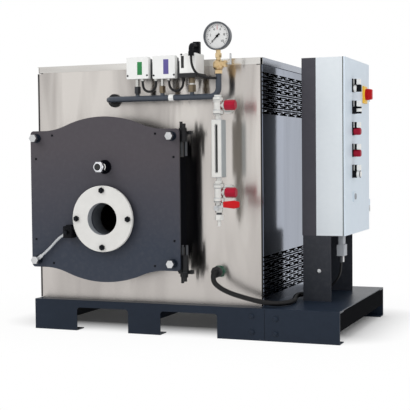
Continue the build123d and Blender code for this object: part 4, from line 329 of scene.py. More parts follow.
finishes = {
    # the third tone of each sheet is its foot, painted darker as a reflection of the floor
    "frontSteel": steelSheet(
        "frontSteel", tone(168, 163, 159), tone(214, 209, 204), tone(178, 173, 169), smooth=0.135,
        fine=(10, 10, 1.4), broad=(3.4, 3.4, 0.7), sway=(5, 5, 1.6)),
    # the right side sheet: a darker, bluer copy of the front steel, partly its film, partly painted shade
    # and reflection
    "sideSteelPaintedShade": steelSheet(
        "sideSteelPaintedShade", tone(120, 128, 144), tone(144, 152, 168), tone(120, 128, 143), smooth=0.07,
        fine=(8, 8, 1.2), broad=(4.0, 4.0, 0.8), sway=(4, 4, 1.6), wave=0.06),
    "backSteel": steelSheet(
        "backSteel", tone(152, 150, 148), tone(190, 187, 184), tone(160, 157, 155), smooth=0.135,
        fine=(10, 10, 1.4), broad=(3.4, 3.4, 0.7), sway=(5, 5, 1.6)),
    # roof sheet; its right turned-down edge is painted a darker bluish tone as painted shade
    "roofSteel": steelSheet(
        "roofSteel", tone(198, 195, 191), tone(224, 222, 218), tone(190, 190, 188), smooth=0.14,
        fine=(2.0, 12, 12), broad=(1.0, 6, 6), sway=(3, 5, 5),
        fold=(328.0, tone(150, 156, 168)), brushed=0.0),
    "skidPaint": paint("skidPaint", tone(21, 30, 43), tone(31, 41, 55), 0.32, peel=700.0, shine=0.2),
    "blackPaint": paint("blackPaint", tone(5, 6, 11), tone(10, 11, 17), 0.6, shine=0.02),
    # door and pedestal paints turn darker towards the foot as painted reflection
    "doorPaint": paintedReflectionFade("doorPaint", tone(50, 56, 68), tone(74, 70, 75), low=330, high=720, gloss=0.42),
    "postPaint": paintedReflectionFade("postPaint", tone(44, 47, 54), tone(68, 67, 72), low=200, high=900, gloss=0.42),
    "cabinetPaint": paint(
        "cabinetPaint", tone(218, 225, 230), tone(228, 234, 238), 0.42, peel=620.0, relief=0.22),
    "boilerSteel": metal("boilerSteel", tone(92, 88, 84), tone(128, 122, 116), 0.45),
    "zinc": metal("zinc", tone(176, 178, 180), tone(214, 215, 216), 0.24),
    "galvanised": metal("galvanised", tone(186, 189, 191), tone(203, 205, 206), 0.34, scale=16.0),
    "polished": metal("polished", tone(222, 225, 231), tone(250, 250, 252), 0.16),
    "brass": metal("brass", tone(196, 166, 120), tone(230, 206, 164), 0.2),
    # the bore through the lining is grey, darker than the fireclay round it
    "lining": zonedFinish("lining", "fireclay", [({"XZ": (-275, 455, 66)}, "boreGrey")], grain=160.0),
    # the post's left faces are painted near black as painted shade, so the side sheet's reflection of the
    # post is dark
    "postPaintedShade": zonedFinish("postPaintedShade", "postGrey", [({"X": (-far, 423)}, "pitch")],
                             grain=760.0, shine=0.2),
    # the cross beam's face at the right end is painted near black as the painted shadow under the open end
    # of the deck
    "crossBeamPaintedShadow": zonedFinish("crossBeamPaintedShadow", "skid", [({"X": (600, far)}, "paintedShadowBlack")], grain=700.0, shine=0.02),
    "blackRubber": plastic("blackRubber", tone(13, 13, 14), tone(24, 23, 24), 0.38, shine=0.3),
    "deviceBlack": plastic("deviceBlack", tone(8, 9, 13), tone(18, 19, 23), 0.5, shine=0.12),
    "gaugeCase": zonedFinish("gaugeCase", "gaugeSteel", [({"Z": (-far, 1087)}, "brassTone")]),
    "dialWhite": plastic("dialWhite", tone(208, 209, 210), tone(222, 222, 221), 0.45),
    "redPlastic": plastic("redPlastic", tone(146, 10, 38), tone(168, 18, 48), 0.3, shine=0.2),
    "leverRed": plastic("leverRed", tone(176, 12, 20), tone(194, 22, 28), 0.32, shine=0.2),
    "cockUpper": zonedFinish("cockUpper", "castGrey", [
        ({"Z": (848, 850)}, "charcoal"), ({"Z": (861, 863)}, "midGrey"), ({"Z": (898, 900)}, "charcoal"),
        ({"Z": (911, 912.5)}, "midGrey"), ({"X": (206, far)}, "nickel")]),
    "cockLower": zonedFinish("cockLower", "castGrey", [
        ({"Z": (523, 525)}, "charcoal"), ({"Z": (536, 538)}, "midGrey"), ({"Z": (572, 574)}, "midGrey"),
        ({"Z": (585, 587)}, "charcoal"), ({"X": (206, far)}, "nickel")]),
    "drain": zonedFinish("drain", "nickel", [
        ({"Z": (475, 483)}, "charcoal"), ({"Z": (455, 475)}, "castGrey"),
        ({"Z": (-far, 455)}, "castGrey")]),
    # the level glass housing's right side is painted grey-blue as painted shade
    "levelHousing": zonedFinish("levelHousing", "castGrey", [
        ({"X": (213.2, far)}, "paintedShadeGrey"),
        ({"Z": (826, far)}, "midGrey"), ({"Z": (-far, 614)}, "midGrey")]),
    "glassBed": plastic("glassBed", tone(176, 178, 178), tone(196, 197, 196), 0.4),
    "darkGlass": plastic("darkGlass", tone(12, 13, 15), tone(22, 23, 25), 0.06),
    "signalYellow": plastic("signalYellow", tone(240, 186, 40), tone(248, 202, 62), 0.36),
    "plainWhite": plastic("plainWhite", tone(236, 236, 234), tone(246, 246, 244), 0.4),
    "labelGreen": plastic("labelGreen", tone(24, 112, 58), tone(36, 128, 70), 0.35),
    "labelViolet": plastic("labelViolet", tone(78, 70, 132), tone(94, 86, 148), 0.35),
    "darkScrew": metal("darkScrew", tone(18, 19, 22), tone(44, 46, 50), 0.36),
    "flange": zonedFinish("flange", "paleGrey", [
        ({"Y": (-437.8, far)}, "darkSteel"), ({"Y": (-449.5, far), "XZ": (-275, 455, 63.4)}, "midGrey")]),
    "doorBolt": zonedFinish("doorBolt", "zinc", [({"Y": (-439.6, far)}, "inkSteel")], shine=0.2),
    "knuckle": zonedFinish("knuckle", "pitch", [
        ({"Z": (693, 747.8)}, "charcoal"), ({"Z": (318.2, 357)}, "charcoal")], shine=0.3),
    "bracket": zonedFinish("bracket", "pitch", [
        ({"Z": (800.6, far)}, "black"), ({"Z": (-far, 233.4)}, "black")],
        thread=(233.4, 800.6, 2.0), shine=0.3),
    "header": zonedFinish("header", "slate", [
        ({"X": (-170, -134), "Z": (962, 1000)}, "nickel"),
        ({"X": (-170, -134), "Z": (930, 962)}, "darkSteel"),
        ({"X": (-68, -28), "Z": (962, 1000)}, "nickel"),
        ({"X": (-68, -28), "Z": (934, 962)}, "bronze"),
        ({"X": (50, 98), "Z": (934, 1000)}, "bronze"),
        ({"X": (50, 98), "Z": (962, 968)}, "nickel")]),
    "lowSwitch": zonedFinish("lowSwitch", "shellWhite", [
        ({"Y": (-377.8, far)}, "charcoal"), ({"Z": (-far, 989.8)}, "nickel"),
        ({"Z": (-far, 982)}, "black")]),
    "highSwitch": zonedFinish("highSwitch", "shellWhite", [
        ({"Y": (-377.8, far)}, "charcoal"), ({"Z": (-far, 987.8)}, "nickel"),
        ({"Z": (-far, 981)}, "black")]),
    "sender": zonedFinish("sender", "white", [({"Z": (-far, 1003)}, "black")]),
    "hoseGland": zonedFinish("hoseGland", "black", [({"Y": (-327, far)}, "green")]),
    "glandBox": zonedFinish("glandBox", "midGrey", [
        ({"Z": (-far, 294.8)}, "charcoal"), ({"Z": (-far, 294.8), "Y": (-5, far)}, "white")]),
    # the door's paint is a little darker and bluer than the body's: a shaded copy of the same paint, painted
    # shade
    "cabinetDoor": zonedFinish("cabinetDoor", "cabinet", [
        ({"X": (595.3, far), "YZ": (58, 527, 12.4)}, "midGrey")], grain=620.0),
}

nodeFinish = {
    "frontSteel": ["casing_front_panel"],
    "sideSteelPaintedShade": ["casing_right_panel"],
    "backSteel": ["casing_left_panel", "casing_rear_panel"],
    "roofSteel": ["casing_roof"],
    "skidPaint": ["skid_deck", "skid_front_rail", "skid_rear_rail", "extension_rails"],
    "crossBeamPaintedShadow": ["skid_cross_beams"],
    "blackPaint": ["smoke_box", "sight_port"],
    "boilerSteel": ["vessel_shell", "furnace_tube", "smoke_tubes", "front_tube_plate", "flue_spigot",
                    "rear_nozzles"],
    "doorPaint": ["burner_door_plate"],
    "lining": ["burner_door_lining"],
    "flange": ["burner_flange"],
    "doorBolt": ["door_bolts"],
    "knuckle": ["door_hinge_knuckles"],
    "bracket": ["hinge_brackets"],
    "header": ["pressure_header"],
    "blackRubber": ["header_grommet"],
    "lowSwitch": ["pressure_switch_low"],
    "highSwitch": ["pressure_switch_high"],
    "sender": ["pressure_transmitter"],
    "deviceBlack": ["transmitter_plug", "control_devices"],
    "gaugeCase": ["pressure_gauge"],
    "dialWhite": ["gauge_dial"],
    "brass": ["gauge_cock"],
    "zinc": ["gauge_cock_lever", "cabinet_hinge_pins"],
    "galvanised": ["cabinet_mounting_plate"],
    "cockUpper": ["upper_gauge_cock"],
    "cockLower": ["lower_gauge_cock"],
    "drain": ["drain_cock"],
    "levelHousing": ["level_glass_housing"],
    "darkGlass": ["level_glass"],
    "redPlastic": ["upper_cock_knob", "lower_cock_knob", "main_switch_knob"],
    "leverRed": ["drain_lever"],
    "hoseGland": ["hose_gland"],
    "postPaint": ["cabinet_pedestal"],
    "postPaintedShade": ["cabinet_post"],
    "cabinetPaint": ["control_cabinet"],
    "cabinetDoor": ["cabinet_door"],
    "glandBox": ["cabinet_gland_box"],
    "signalYellow": ["main_switch_plate"],
}
for finishName, nodeNames in nodeFinish.items():
    for nodeName in nodeNames:
        nodes[nodeName].data.materials.clear()
        nodes[nodeName].data.materials.append(finishes[finishName])
print("finishes on", sum(len(names) for names in nodeFinish.values()), "nodes")


# cords: each route is the control points of one smooth spline, in millimetres
def drawSpline(name, route, radius=0.0):
    line = bpy.data.curves.new(name, "CURVE")
    line.dimensions = "3D"
    spline = line.splines.new("NURBS")
    spline.points.add(len(route) - 1)
    for point, spot in zip(spline.points, route):
        point.co = (spot[0] * mm, spot[1] * mm, spot[2] * mm, 1)
    spline.order_u = 3
    spline.use_endpoint_u = True
    spline.resolution_u = 12
    line.bevel_depth = radius * mm
    line.bevel_resolution = 5
    line.use_fill_caps = True
    cord = bpy.data.objects.new(name, line)
    scene.collection.objects.link(cord)
    return cord


def followSpline(route):
    guide = drawSpline("guide", route)
    mesh = bpy.data.meshes.new_from_object(guide)
    points = [vertex.co.copy() for vertex in mesh.vertices]
    bpy.data.curves.remove(guide.data)
    bpy.data.meshes.remove(mesh)
    return points


def lineLength(points):
    return sum((b - a).length for a, b in zip(points, points[1:]))


def declareCord(cord, spec, points):
    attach(cord, spec["body"])
    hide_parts(spec["node"])
    2 * spec["radius"] * mm


def layCord(name, spec):
    cord = drawSpline(name, spec["route"], spec["radius"])
    cord.data.materials.append(finishes["blackRubber"])
    declareCord(cord, spec, followSpline(spec["route"]))


# a mesh tube whose rings follow a spline; a ring is its distance along the line and its radius
def tubeAlong(name, points, rings, sides):
    marks = [0.0]
    for a, b in zip(points, points[1:]):
        marks.append(marks[-1] + (b - a).length)
    work = bmesh.new()
    layer = work.loops.layers.uv.new("lay")
    loops, step, side = [], 0, None
    for along, radius in rings:
        along = min(along, marks[-1])
        while step < len(points) - 2 and marks[step + 1] < along:
            step += 1
        share = (along - marks[step]) / (marks[step + 1] - marks[step])
        spot = points[step].lerp(points[step + 1], share)
        before = points[step] - points[max(step - 1, 0)] if step else points[1] - points[0]
        after = points[step + 1] - points[step]
        heading = before.normalized().lerp(after.normalized(), 0.5 + 0.5 * share).normalized()
        side = heading.orthogonal() if side is None else side
        side = (side - heading * side.dot(heading)).normalized()
        other = heading.cross(side)
        loops.append([work.verts.new(spot + radius * (
            side * math.cos(2 * math.pi * k / sides) + other * math.sin(2 * math.pi * k / sides)))
            for k in range(sides)])
    for row, (near, away) in enumerate(zip(loops, loops[1:])):
        for k in range(sides):
            face = work.faces.new((near[k], near[(k + 1) % sides], away[(k + 1) % sides], away[k]))
            face.smooth = True
            places = ((row, k), (row, k + 1), (row + 1, k + 1), (row + 1, k))
            for corner, (ring, turn) in zip(face.loops, places):
                corner[layer].uv = (rings[ring][0], turn / sides)
    work.faces.new(list(reversed(loops[0])))
    work.faces.new(loops[-1])
    mesh = bpy.data.meshes.new(name)
    work.to_mesh(mesh)
    work.free()
    tube = bpy.data.objects.new(name, mesh)
    scene.collection.objects.link(tube)
    return tube


conduitHose = {
    "radius": 9.8, "valley": 8.4, "pitch": 4.2, "sides": 20,
    "rib": (0.0, 0.22, 0.42, 0.8),  # shares of the pitch where the valley and the crest start and end
    "body": "boiler", "node": "conduit_hose", "slot": "black_rubber", "stiffness": "stiff", "lay": "loose",
    "route": [(152, -345, 251), (152, -363, 251), (153, -377, 240), (160, -387, 216), (188, -390, 196),
              (226, -384, 178), (280, -374, 162), (332, -355, 147), (378, -318, 136), (408, -262, 133.5),
              (414, -200, 133), (404, -138, 133), (390, -88, 134), (392, -50, 138), (408, -38, 139),
              (425, -38, 139)],
}


def layConduit(spec):
    points = followSpline(spec["route"])
    length = lineLength(points)
    ribs = int(length / (spec["pitch"] * mm))
    valley, crest = spec["valley"], spec["radius"]
    shape = list(zip(spec["rib"], (valley, valley, crest, crest)))
    rings = [((rib + part) * length / ribs, radius * mm) for rib in range(ribs) for part, radius in shape]
    rings.append((length, valley * mm))
    hose = tubeAlong("conduitHose", points, rings, spec["sides"])
    hose.data.materials.append(finishes["blackRubber"])
    declareCord(hose, spec, points)


layConduit(conduitHose)

cableFacts = {"body": "boiler", "slot": "black_rubber", "stiffness": "medium", "lay": "hanging"}
cables = {
    "senderCable": {
        "radius": 4.6, "node": "transmitter_cable",
        "route": [(95, -434, 1066), (95, -434, 1052), (98, -435, 1032), (106, -435, 1012), (119, -430, 996),
                  (136, -423, 987), (152, -411, 984), (164.75, -396.56, 983), (174.38, -383.79, 983)]},
    "pedestalCable": {
        "radius": 4.4, "node": "pedestal_cable",
        "route": [(558, -16, 269), (558, -16, 255), (556, -15, 235), (549, -14, 213), (536, -14, 192),
                  (517, -16, 174), (493, -22, 160), (467, -30, 150), (448, -35, 144.5), (438, -36, 143.5),
                  (428, -36, 143.5)]},
    "switchCableLoop": {
        "radius": 4.6, "node": "switch_cable_loop",
        "route": [(-124, -388, 980), (-124, -388, 957.4), (-107.6, -388, 941), (-84.4, -388, 941),
                  (-68, -388, 957.4), (-68, -388, 978)]},
    "senderCableLoop": {
        "radius": 4.6, "node": "transmitter_cable_loop",
        "route": [(-14, -388, 978), (-14, -388, 958), (3, -388, 941), (27, -388, 941), (44, -388, 958),
                  (44, -388, 977)]},
}
for cableName, cableSpec in cables.items():
    layCord(cableName, {**cableFacts, **cableSpec})
print("cords laid")


# modelling steps that the small pieces share
def selectOnly(*pieces):
    bpy.ops.object.select_all(action="DESELECT")
    for piece in pieces:
        piece.select_set(True)
    bpy.context.view_layer.objects.active = pieces[0]


def bakePlace():
    bpy.ops.object.transform_apply(location=True, rotation=True, scale=True)
    return bpy.context.active_object


def pickFaces(test):
    bpy.ops.mesh.select_mode(type="FACE")
    bpy.ops.mesh.select_all(action="DESELECT")
    mesh = bpy.context.edit_object.data
    work = bmesh.from_edit_mesh(mesh)
    for face in work.faces:
        face.select_set(bool(test(face.calc_center_median() / mm, face.normal)))
    bmesh.update_edit_mesh(mesh)


def easeEdges(piece, width, segments=2):
    selectOnly(piece)
    edge = piece.modifiers.new("edge", "BEVEL")
    edge.width = width * mm
    edge.segments = segments
    edge.limit_method = "ANGLE"
    bpy.ops.object.modifier_apply(modifier="edge")


def slab(low, high, ease=0.0):
    bpy.ops.object.select_all(action="DESELECT")
    bpy.ops.mesh.primitive_cube_add(size=1, location=[(a + b) / 2 * mm for a, b in zip(low, high)],
                                    scale=[(b - a) * mm for a, b in zip(low, high)])
    piece = bakePlace()
    if ease:
        easeEdges(piece, ease)
    return piece


def easedSlab(spec):
    return slab(spec["low"], spec["high"], spec["ease"])


# a turned piece: a disc drawn out along its axis; a step is a distance and a radius
def turned(foot, axis, steps, sides=24):
    bpy.ops.object.select_all(action="DESELECT")
    heading = Vector(axis).normalized()
    centre = Vector(foot) * mm + heading * steps[0][0] * mm
    bpy.ops.mesh.primitive_circle_add(
        vertices=sides, radius=steps[0][1] * mm, fill_type="NGON", location=centre,
        rotation=heading.to_track_quat("Z", "Y").to_euler())
    piece = bakePlace()
    bpy.ops.object.mode_set(mode="EDIT")
    bpy.ops.mesh.select_mode(type="FACE")
    bpy.ops.mesh.select_all(action="SELECT")
    for before, after in zip(steps, steps[1:]):
        move = heading * (after[0] - before[0]) * mm
        bpy.ops.mesh.extrude_region_move(TRANSFORM_OT_translate={"value": move})
        centre = centre + move
        if after[1] != before[1]:
            bpy.ops.transform.resize(value=[after[1] / before[1]] * 3, center_override=centre)
    bpy.ops.mesh.select_all(action="SELECT")
    bpy.ops.mesh.normals_make_consistent(inside=False)
    bpy.ops.object.mode_set(mode="OBJECT")
    return piece


def copyTo(piece, matrix):
    twin = piece.copy()
    twin.data = piece.data.copy()
    twin.data.transform(matrix)
    scene.collection.objects.link(twin)
    return twin


# copies of one piece at several places, joined, with the first one taken away
def spread(piece, shifts):
    twins = [copyTo(piece, Matrix.Translation(Vector(shift) * mm)) for shift in shifts]
    bpy.data.objects.remove(piece)
    return joined(twins)


def joined(pieces):
    if len(pieces) > 1:
        selectOnly(*pieces)
        bpy.ops.object.join()
    return pieces[0]


def finishPiece(piece, name, finish, body="boiler", angle=32):
    piece.name = name
    piece.data.name = name
    piece.data.materials.clear()
    piece.data.materials.append(finishes[finish])
    selectOnly(piece)
    bpy.ops.object.shade_smooth_by_angle(angle=math.radians(angle))
    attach(piece, body)
    return piece


# the braided hose on the door, with its ferrules and the block that it enters
braidHose = {
    "radius": 5.5, "sides": 18, "rings": 90, "weavePitch": 0.006, "weaveTurns": 9,
    "body": "burner_door", "node": "door_braided_hose", "slot": "zinc", "stiffness": "stiff", "lay": "taut",
    "route": [(-564.6, -432, 295.3), (-524.9, -432, 325.6), (-483.9, -432, 367.3), (-454.4, -432, 390),
              (-436.5, -432, 390)],
    "block": ((-442, -458, 379), (-405, -418, 425)), "blockEase": 2.2,
    "frontStep": (6, 5), "topStep": (8, 5),  # margin and rise
    "boltEnd": [(-6, 7), (-4, 8), (16, 8), (20, 6.2)], "blockEnd": [(-4, 8), (16, 8), (20, 6.2)],
    "boss": [(0, 11), (3, 11), (3.2, 8.5), (12, 8.5), (13, 6)],
}


def braidFinish(spec):
    finish = Finish("braid", Metallic=1.0)
    lay = finish.node("ShaderNodeUVMap", {"uv_map": "lay"})
    along = finish.node("ShaderNodeSeparateXYZ", sockets={0: lay}, output="X")
    around = finish.node("ShaderNodeSeparateXYZ", sockets={0: lay}, output="Y")
    right = finish.wave(along / spec["weavePitch"] + around * spec["weaveTurns"], 1.0)
    left = finish.wave(along / spec["weavePitch"] - around * spec["weaveTurns"], 1.0)
    weave = finish.node("ShaderNodeMath", {"operation": "MAXIMUM"}, {0: right, 1: left}) * 0.5 + 0.5
    dull = finish.noise(40.0, 3.0)
    finish.drive(Base_Color=finish.blend(finish.band(weave * 0.8 + dull * 0.2, 0.2, 0.9),
                                         tone(120, 124, 130), tone(232, 234, 236)),
                 Roughness=0.3 + dull * 0.12)
    finish.relief(weave, 0.8, 0.0012)
    return finish.material


def fitBraidHose(spec):
    points = followSpline(spec["route"])
    length = lineLength(points)
    rings = [(length * k / spec["rings"], spec["radius"] * mm) for k in range(spec["rings"] + 1)]
    hose = tubeAlong("braidHose", points, rings, spec["sides"])
    hose.data.materials.append(braidFinish(spec))
    (x0, y0, z0), (x1, y1, z1) = spec["block"]
    block = slab(*spec["block"])
    bpy.ops.object.mode_set(mode="EDIT")
    margin, frontRise = spec["frontStep"]
    pickFaces(lambda spot, normal: normal.y < -facing)
    bpy.ops.mesh.inset(thickness=margin * mm)
    bpy.ops.mesh.extrude_region_move(TRANSFORM_OT_translate={"value": (0, -frontRise * mm, 0)})
    margin, topRise = spec["topStep"]
    pickFaces(lambda spot, normal: normal.z > facing and spot[2] > z1 - 1)
    bpy.ops.mesh.inset(thickness=margin * mm)
    bpy.ops.mesh.extrude_region_move(TRANSFORM_OT_translate={"value": (0, 0, topRise * mm)})
    bpy.ops.object.mode_set(mode="OBJECT")
    easeEdges(block, spec["blockEase"])
    finishPiece(block, "braidBlock", "deviceBlack", "burner_door")
    start = turned(points[0] / mm, points[3] - points[0], spec["boltEnd"], 12)
    end = turned(points[-1] / mm, points[-4] - points[-1], spec["blockEnd"], 6)
    ferrules = finishPiece(joined([start, end]), "braidFerrules", "zinc", "burner_door")
    cap = turned(((x0 + x1) / 2, y0 - frontRise, (z0 + z1) / 2), toFront, spec["boss"], 8)
    finishPiece(cap, "braidBlockCap", "darkScrew", "burner_door")
    declareCord(hose, spec, points)


fitBraidHose(braidHose)
print("braided hose fitted")

# small round-headed screws in the door plate, left dark
doorScrews = {
    "steps": [(-0.5, 4.4), (1.2, 4.4), (2.6, 3.3), (3.2, 1.2)], "sides": 14, "front": -418,
    "places": [(-505.9, 780), (-61.8, 780), (13.3, 690.6), (13.8, 373.3), (-68, 276.1), (-506, 275.4),
               (-580, 688.1), (-583.7, 369.3)],
}
screw = turned(origin, toFront, doorScrews["steps"], doorScrews["sides"])
finishPiece(spread(screw, [(x, doorScrews["front"], z) for x, z in doorScrews["places"]]),
            "doorScrews", "darkScrew", "burner_door")

# round-headed bolts that tie the two halves of the skid
skidBolts = {
    "steps": [(-1, 12), (1.4, 12), (1.5, 9.5), (4.5, 8.2), (6.6, 5), (7.2, 2)], "sides": 18, "front": -355,
    "places": [(299, 92), (299, 32), (392, 85), (391, 29)],
}
bolt = turned(origin, toFront, skidBolts["steps"], skidBolts["sides"])
finishPiece(spread(bolt, [(x, skidBolts["front"], z) for x, z in skidBolts["places"]]),
            "skidBolts", "skidPaint")

# the seam where the two halves of the skid meet: a dark strip standing for the shadow in the joint, painted
# shade
skidSeamShade = {"low": (347.3, -355.4, 3), "high": (348.7, -354, 120), "ease": 0.3}
finishPiece(easedSlab(skidSeamShade), "skidSeamShade", "deviceBlack")

# a plate under the left end beam that closes the end of the skid
endSkirt = {"low": (-633.2, -350, 0.2), "high": (-630.4, 412, 66), "ease": 0.6}
finishPiece(easedSlab(endSkirt), "endSkirt", "skidPaint")

# dark nuts on the burner flange's four studs
flangeNuts = {
    "centre": (-275, -450, 455), "ring": 110, "nut": [(-1, 11.5), (7.5, 11.5), (8.6, 10)],
    "stud": [(0, 6), (12, 6), (13.5, 4.6)],
}


def fitFlangeNuts(spec):
    pair = joined([turned(origin, toFront, spec["nut"], 6), turned(origin, toFront, spec["stud"], 16)])
    x, y, z = spec["centre"]
    ring = spec["ring"]
    places = [(x, y, z + ring), (x, y, z - ring), (x + ring, y, z), (x - ring, y, z)]
    finishPiece(spread(pair, places), "flangeNuts", "darkScrew", "burner_door")


fitFlangeNuts(flangeNuts)

# earth screw on the pedestal: a washer under a hexagon head
earthScrew = {
    "place": (489, -95, 240), "washer": [(-0.5, 8), (1.4, 8), (1.8, 7.2)],
    "head": [(1.6, 5.5), (6, 5.5), (7, 4.4)],
}
washer = turned(earthScrew["place"], toFront, earthScrew["washer"])
head = turned(earthScrew["place"], toFront, earthScrew["head"], 6)
finishPiece(joined([washer, head]), "earthScrew", "zinc")

# the drain lever's red grip, cranked up from its pivot
drainGrip = {
    "hub": ((194, -447, 500), [(0, 9), (0.8, 10), (8, 10), (8.8, 9)]),
    "arm": ((194, -444.5, 495), (226, -440.5, 505)), "rise": 11, "armEase": 0.8,
    "blade": ((221, -449, 499), (284, -435.5, 529)), "heel": 0.72, "tip": 20, "taper": 0.66, "ease": 3.0,
}


def makeDrainGrip(spec):
    foot, steps = spec["hub"]
    hub = turned(foot, toRear, steps)
    arm = slab(*spec["arm"])
    bpy.ops.object.mode_set(mode="EDIT")
    pickFaces(lambda spot, normal: normal.x > facing)
    bpy.ops.transform.translate(value=(0, 0, spec["rise"] * mm))
    bpy.ops.object.mode_set(mode="OBJECT")
    easeEdges(arm, spec["armEase"])
    finishPiece(joined([hub, arm]), "drainCrank", "zinc", "drain_handle")
    (x0, y0, z0), (x1, y1, z1) = spec["blade"]
    midY, midZ = (y0 + y1) / 2, (z0 + z1) / 2
    blade = slab((x0, y0, z0), (x1 - spec["tip"], y1, z1))
    bpy.ops.object.mode_set(mode="EDIT")
    pickFaces(lambda spot, normal: normal.x > facing)
    bpy.ops.mesh.extrude_region_move(TRANSFORM_OT_translate={"value": (spec["tip"] * mm, 0, 0)})
    bpy.ops.transform.resize(value=(1, spec["taper"], spec["taper"]),
                             center_override=(x1 * mm, midY * mm, midZ * mm))
    pickFaces(lambda spot, normal: normal.x < -facing)
    bpy.ops.transform.resize(value=(1, 1, spec["heel"]), center_override=(x0 * mm, midY * mm, midZ * mm))
    bpy.ops.object.mode_set(mode="OBJECT")
    easeEdges(blade, spec["ease"], 3)
    finishPiece(blade, "drainGrip", "leverRed", "drain_handle", 40)
    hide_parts("drain_lever")


makeDrainGrip(drainGrip)

# lid screws and plain coloured plates on the two switch boxes
switchFronts = {
    "front": -400, "screw": [(-0.5, 3.6), (1.0, 3.6), (1.8, 2.6)],
    "screws": [(-181.5, 1003), (-100.5, 1003), (-72.5, 1001), (10.5, 1001)],
    "senderScrew": (50, -420, 1073),
    "green": ((-142.5, 1003.5), (-119.5, 1056)), "violet": ((-34, 1003), (-9.5, 1062)), "border": 1.4,
    "edgeDepth": (-0.6, 0.3), "edgeEase": 0.4, "fieldDepth": (-1.0, -0.3), "fieldEase": 0.3,
}


def dressSwitches(spec):
    screw = turned(origin, toFront, spec["screw"], 12)
    shifts = [(x, spec["front"], z) for x, z in spec["screws"]] + [spec["senderScrew"]]
    finishPiece(spread(screw, shifts), "lidScrews", "darkScrew")
    front, rim = spec["front"], spec["border"]
    (edgeFore, edgeAft), (fieldFore, fieldAft) = spec["edgeDepth"], spec["fieldDepth"]
    for name, finish in (("green", "labelGreen"), ("violet", "labelViolet")):
        (left, low), (right, high) = spec[name]
        edge = slab((left, front + edgeFore, low), (right, front + edgeAft, high), spec["edgeEase"])
        finishPiece(edge, name + "PlateEdge", "plainWhite")
        field = slab((left + rim, front + fieldFore, low + rim),
                     (right - rim, front + fieldAft, high - rim), spec["fieldEase"])
        finishPiece(field, name + "Plate", finish)


dressSwitches(switchFronts)

# the sender's window and the tie on the header
senderWindow = {"low": (48.5, -419.4, 1022.5), "high": (59.5, -417.8, 1067.5), "ease": 0.5}
finishPiece(easedSlab(senderWindow), "senderWindow", "darkGlass")
headerTie = {
    "place": (-20, -375, 916), "steps": [(0, 11.2), (0.6, 12.6), (19.4, 12.6), (20, 11.2)], "sides": 28,
    "tail": ((-14, -391, 914), (-6, -386.5, 919)), "tailEase": 0.8,
}
tie = turned(headerTie["place"], toRight, headerTie["steps"], headerTie["sides"])
tail = slab(*headerTie["tail"], headerTie["tailEase"])
finishPiece(joined([tie, tail]), "headerTie", "plainWhite")

# the level glass: a narrow dark strip bedded in a pale channel
levelStrip = {
    "bed": {"low": (187.6, -434.6, 628.6), "high": (200.4, -431.6, 811.4), "ease": 0.5},
    "strip": {"low": (190.4, -436.2, 633), "high": (197.0, -433.6, 807), "ease": 1.1},
}
bed = finishPiece(easedSlab(levelStrip["bed"]), "glassBed", "glassBed")
strip = finishPiece(easedSlab(levelStrip["strip"]), "glassStrip", "darkGlass")
for piece in (bed, strip):
    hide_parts("level_glass")
print("fasteners and small fittings made")

# the sight port: a dark foot on the door, a pale tube, and a hexagon ring that holds the glass
sightPort = {
    "place": (-275, -418, 655), "foot": [(0, 27), (5, 27), (7, 24), (17, 21), (19, 18.5)],
    "tube": [(17, 13), (20, 13), (20.6, 11), (35, 11), (35.6, 13), (38, 13)],
    "neck": [(37, 17), (38, 18), (44, 18), (45, 17)],
    "ring": [(43, 20), (45, 22.5), (58, 22.5), (60.5, 20)], "ringTurn": 30,
    "lip": [(59, 17.5), (64.5, 17.5), (65.5, 16.5), (65.5, 13.5), (62, 12.5)],
    "glass": [(60, 12.6), (62.6, 12.6), (63.4, 9), (63.8, 4)],
}


def fitSightPort(spec):
    def part(key, sides):
        return turned(spec["place"], toFront, spec[key], sides)

    ring = part("ring", 6)
    centre = Matrix.Translation(Vector(spec["place"]) * mm)
    ring.data.transform(centre @ Matrix.Rotation(math.radians(spec["ringTurn"]), 4, "Y") @ centre.inverted())
    dark = joined([part("foot", 32), part("neck", 28)])
    silver = joined([ring, part("lip", 28)])
    for piece, name, finish, slot in ((dark, "sightFoot", "blackPaint", "device_black"),
                                      (part("tube", 24), "sightTube", "plainWhite", "zinc"),
                                      (silver, "sightRing", "polished", "zinc"),
                                      (part("glass", 24), "sightGlass", "darkGlass", "dark_glass")):
        finishPiece(piece, name, finish, "burner_door")
        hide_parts("sight_port")


fitSightPort(sightPort)
print("sight port fitted")

# the dial: ticks, figures, pointer and a red mark
dialMarks = {
    "centre": (181, 1139), "start": 225, "sweep": 270, "ticks": 31, "outer": 41.5,
    "long": (7, 1.8), "short": (4, 1.0),  # length and width
    "tickDepth": (-0.5, 0.2), "tickEase": 0.12,
    "figures": ["0", "2", "4", "6", "8", "10"], "figureRadius": 27.5, "figureSize": 13.0, "figureDepth": 0.2,
    "pointer": (33, 12, 3.2), "pointerDepth": (-2.4, -1.6), "pointerTip": 0.16, "pointerEase": 0.2,
    "hub": [(0, 4.6), (1.4, 4.6), (2.2, 3.2)], "hubLift": -1.4, "redMark": (24, 41.5, 1.5), "redLift": -0.4,
}


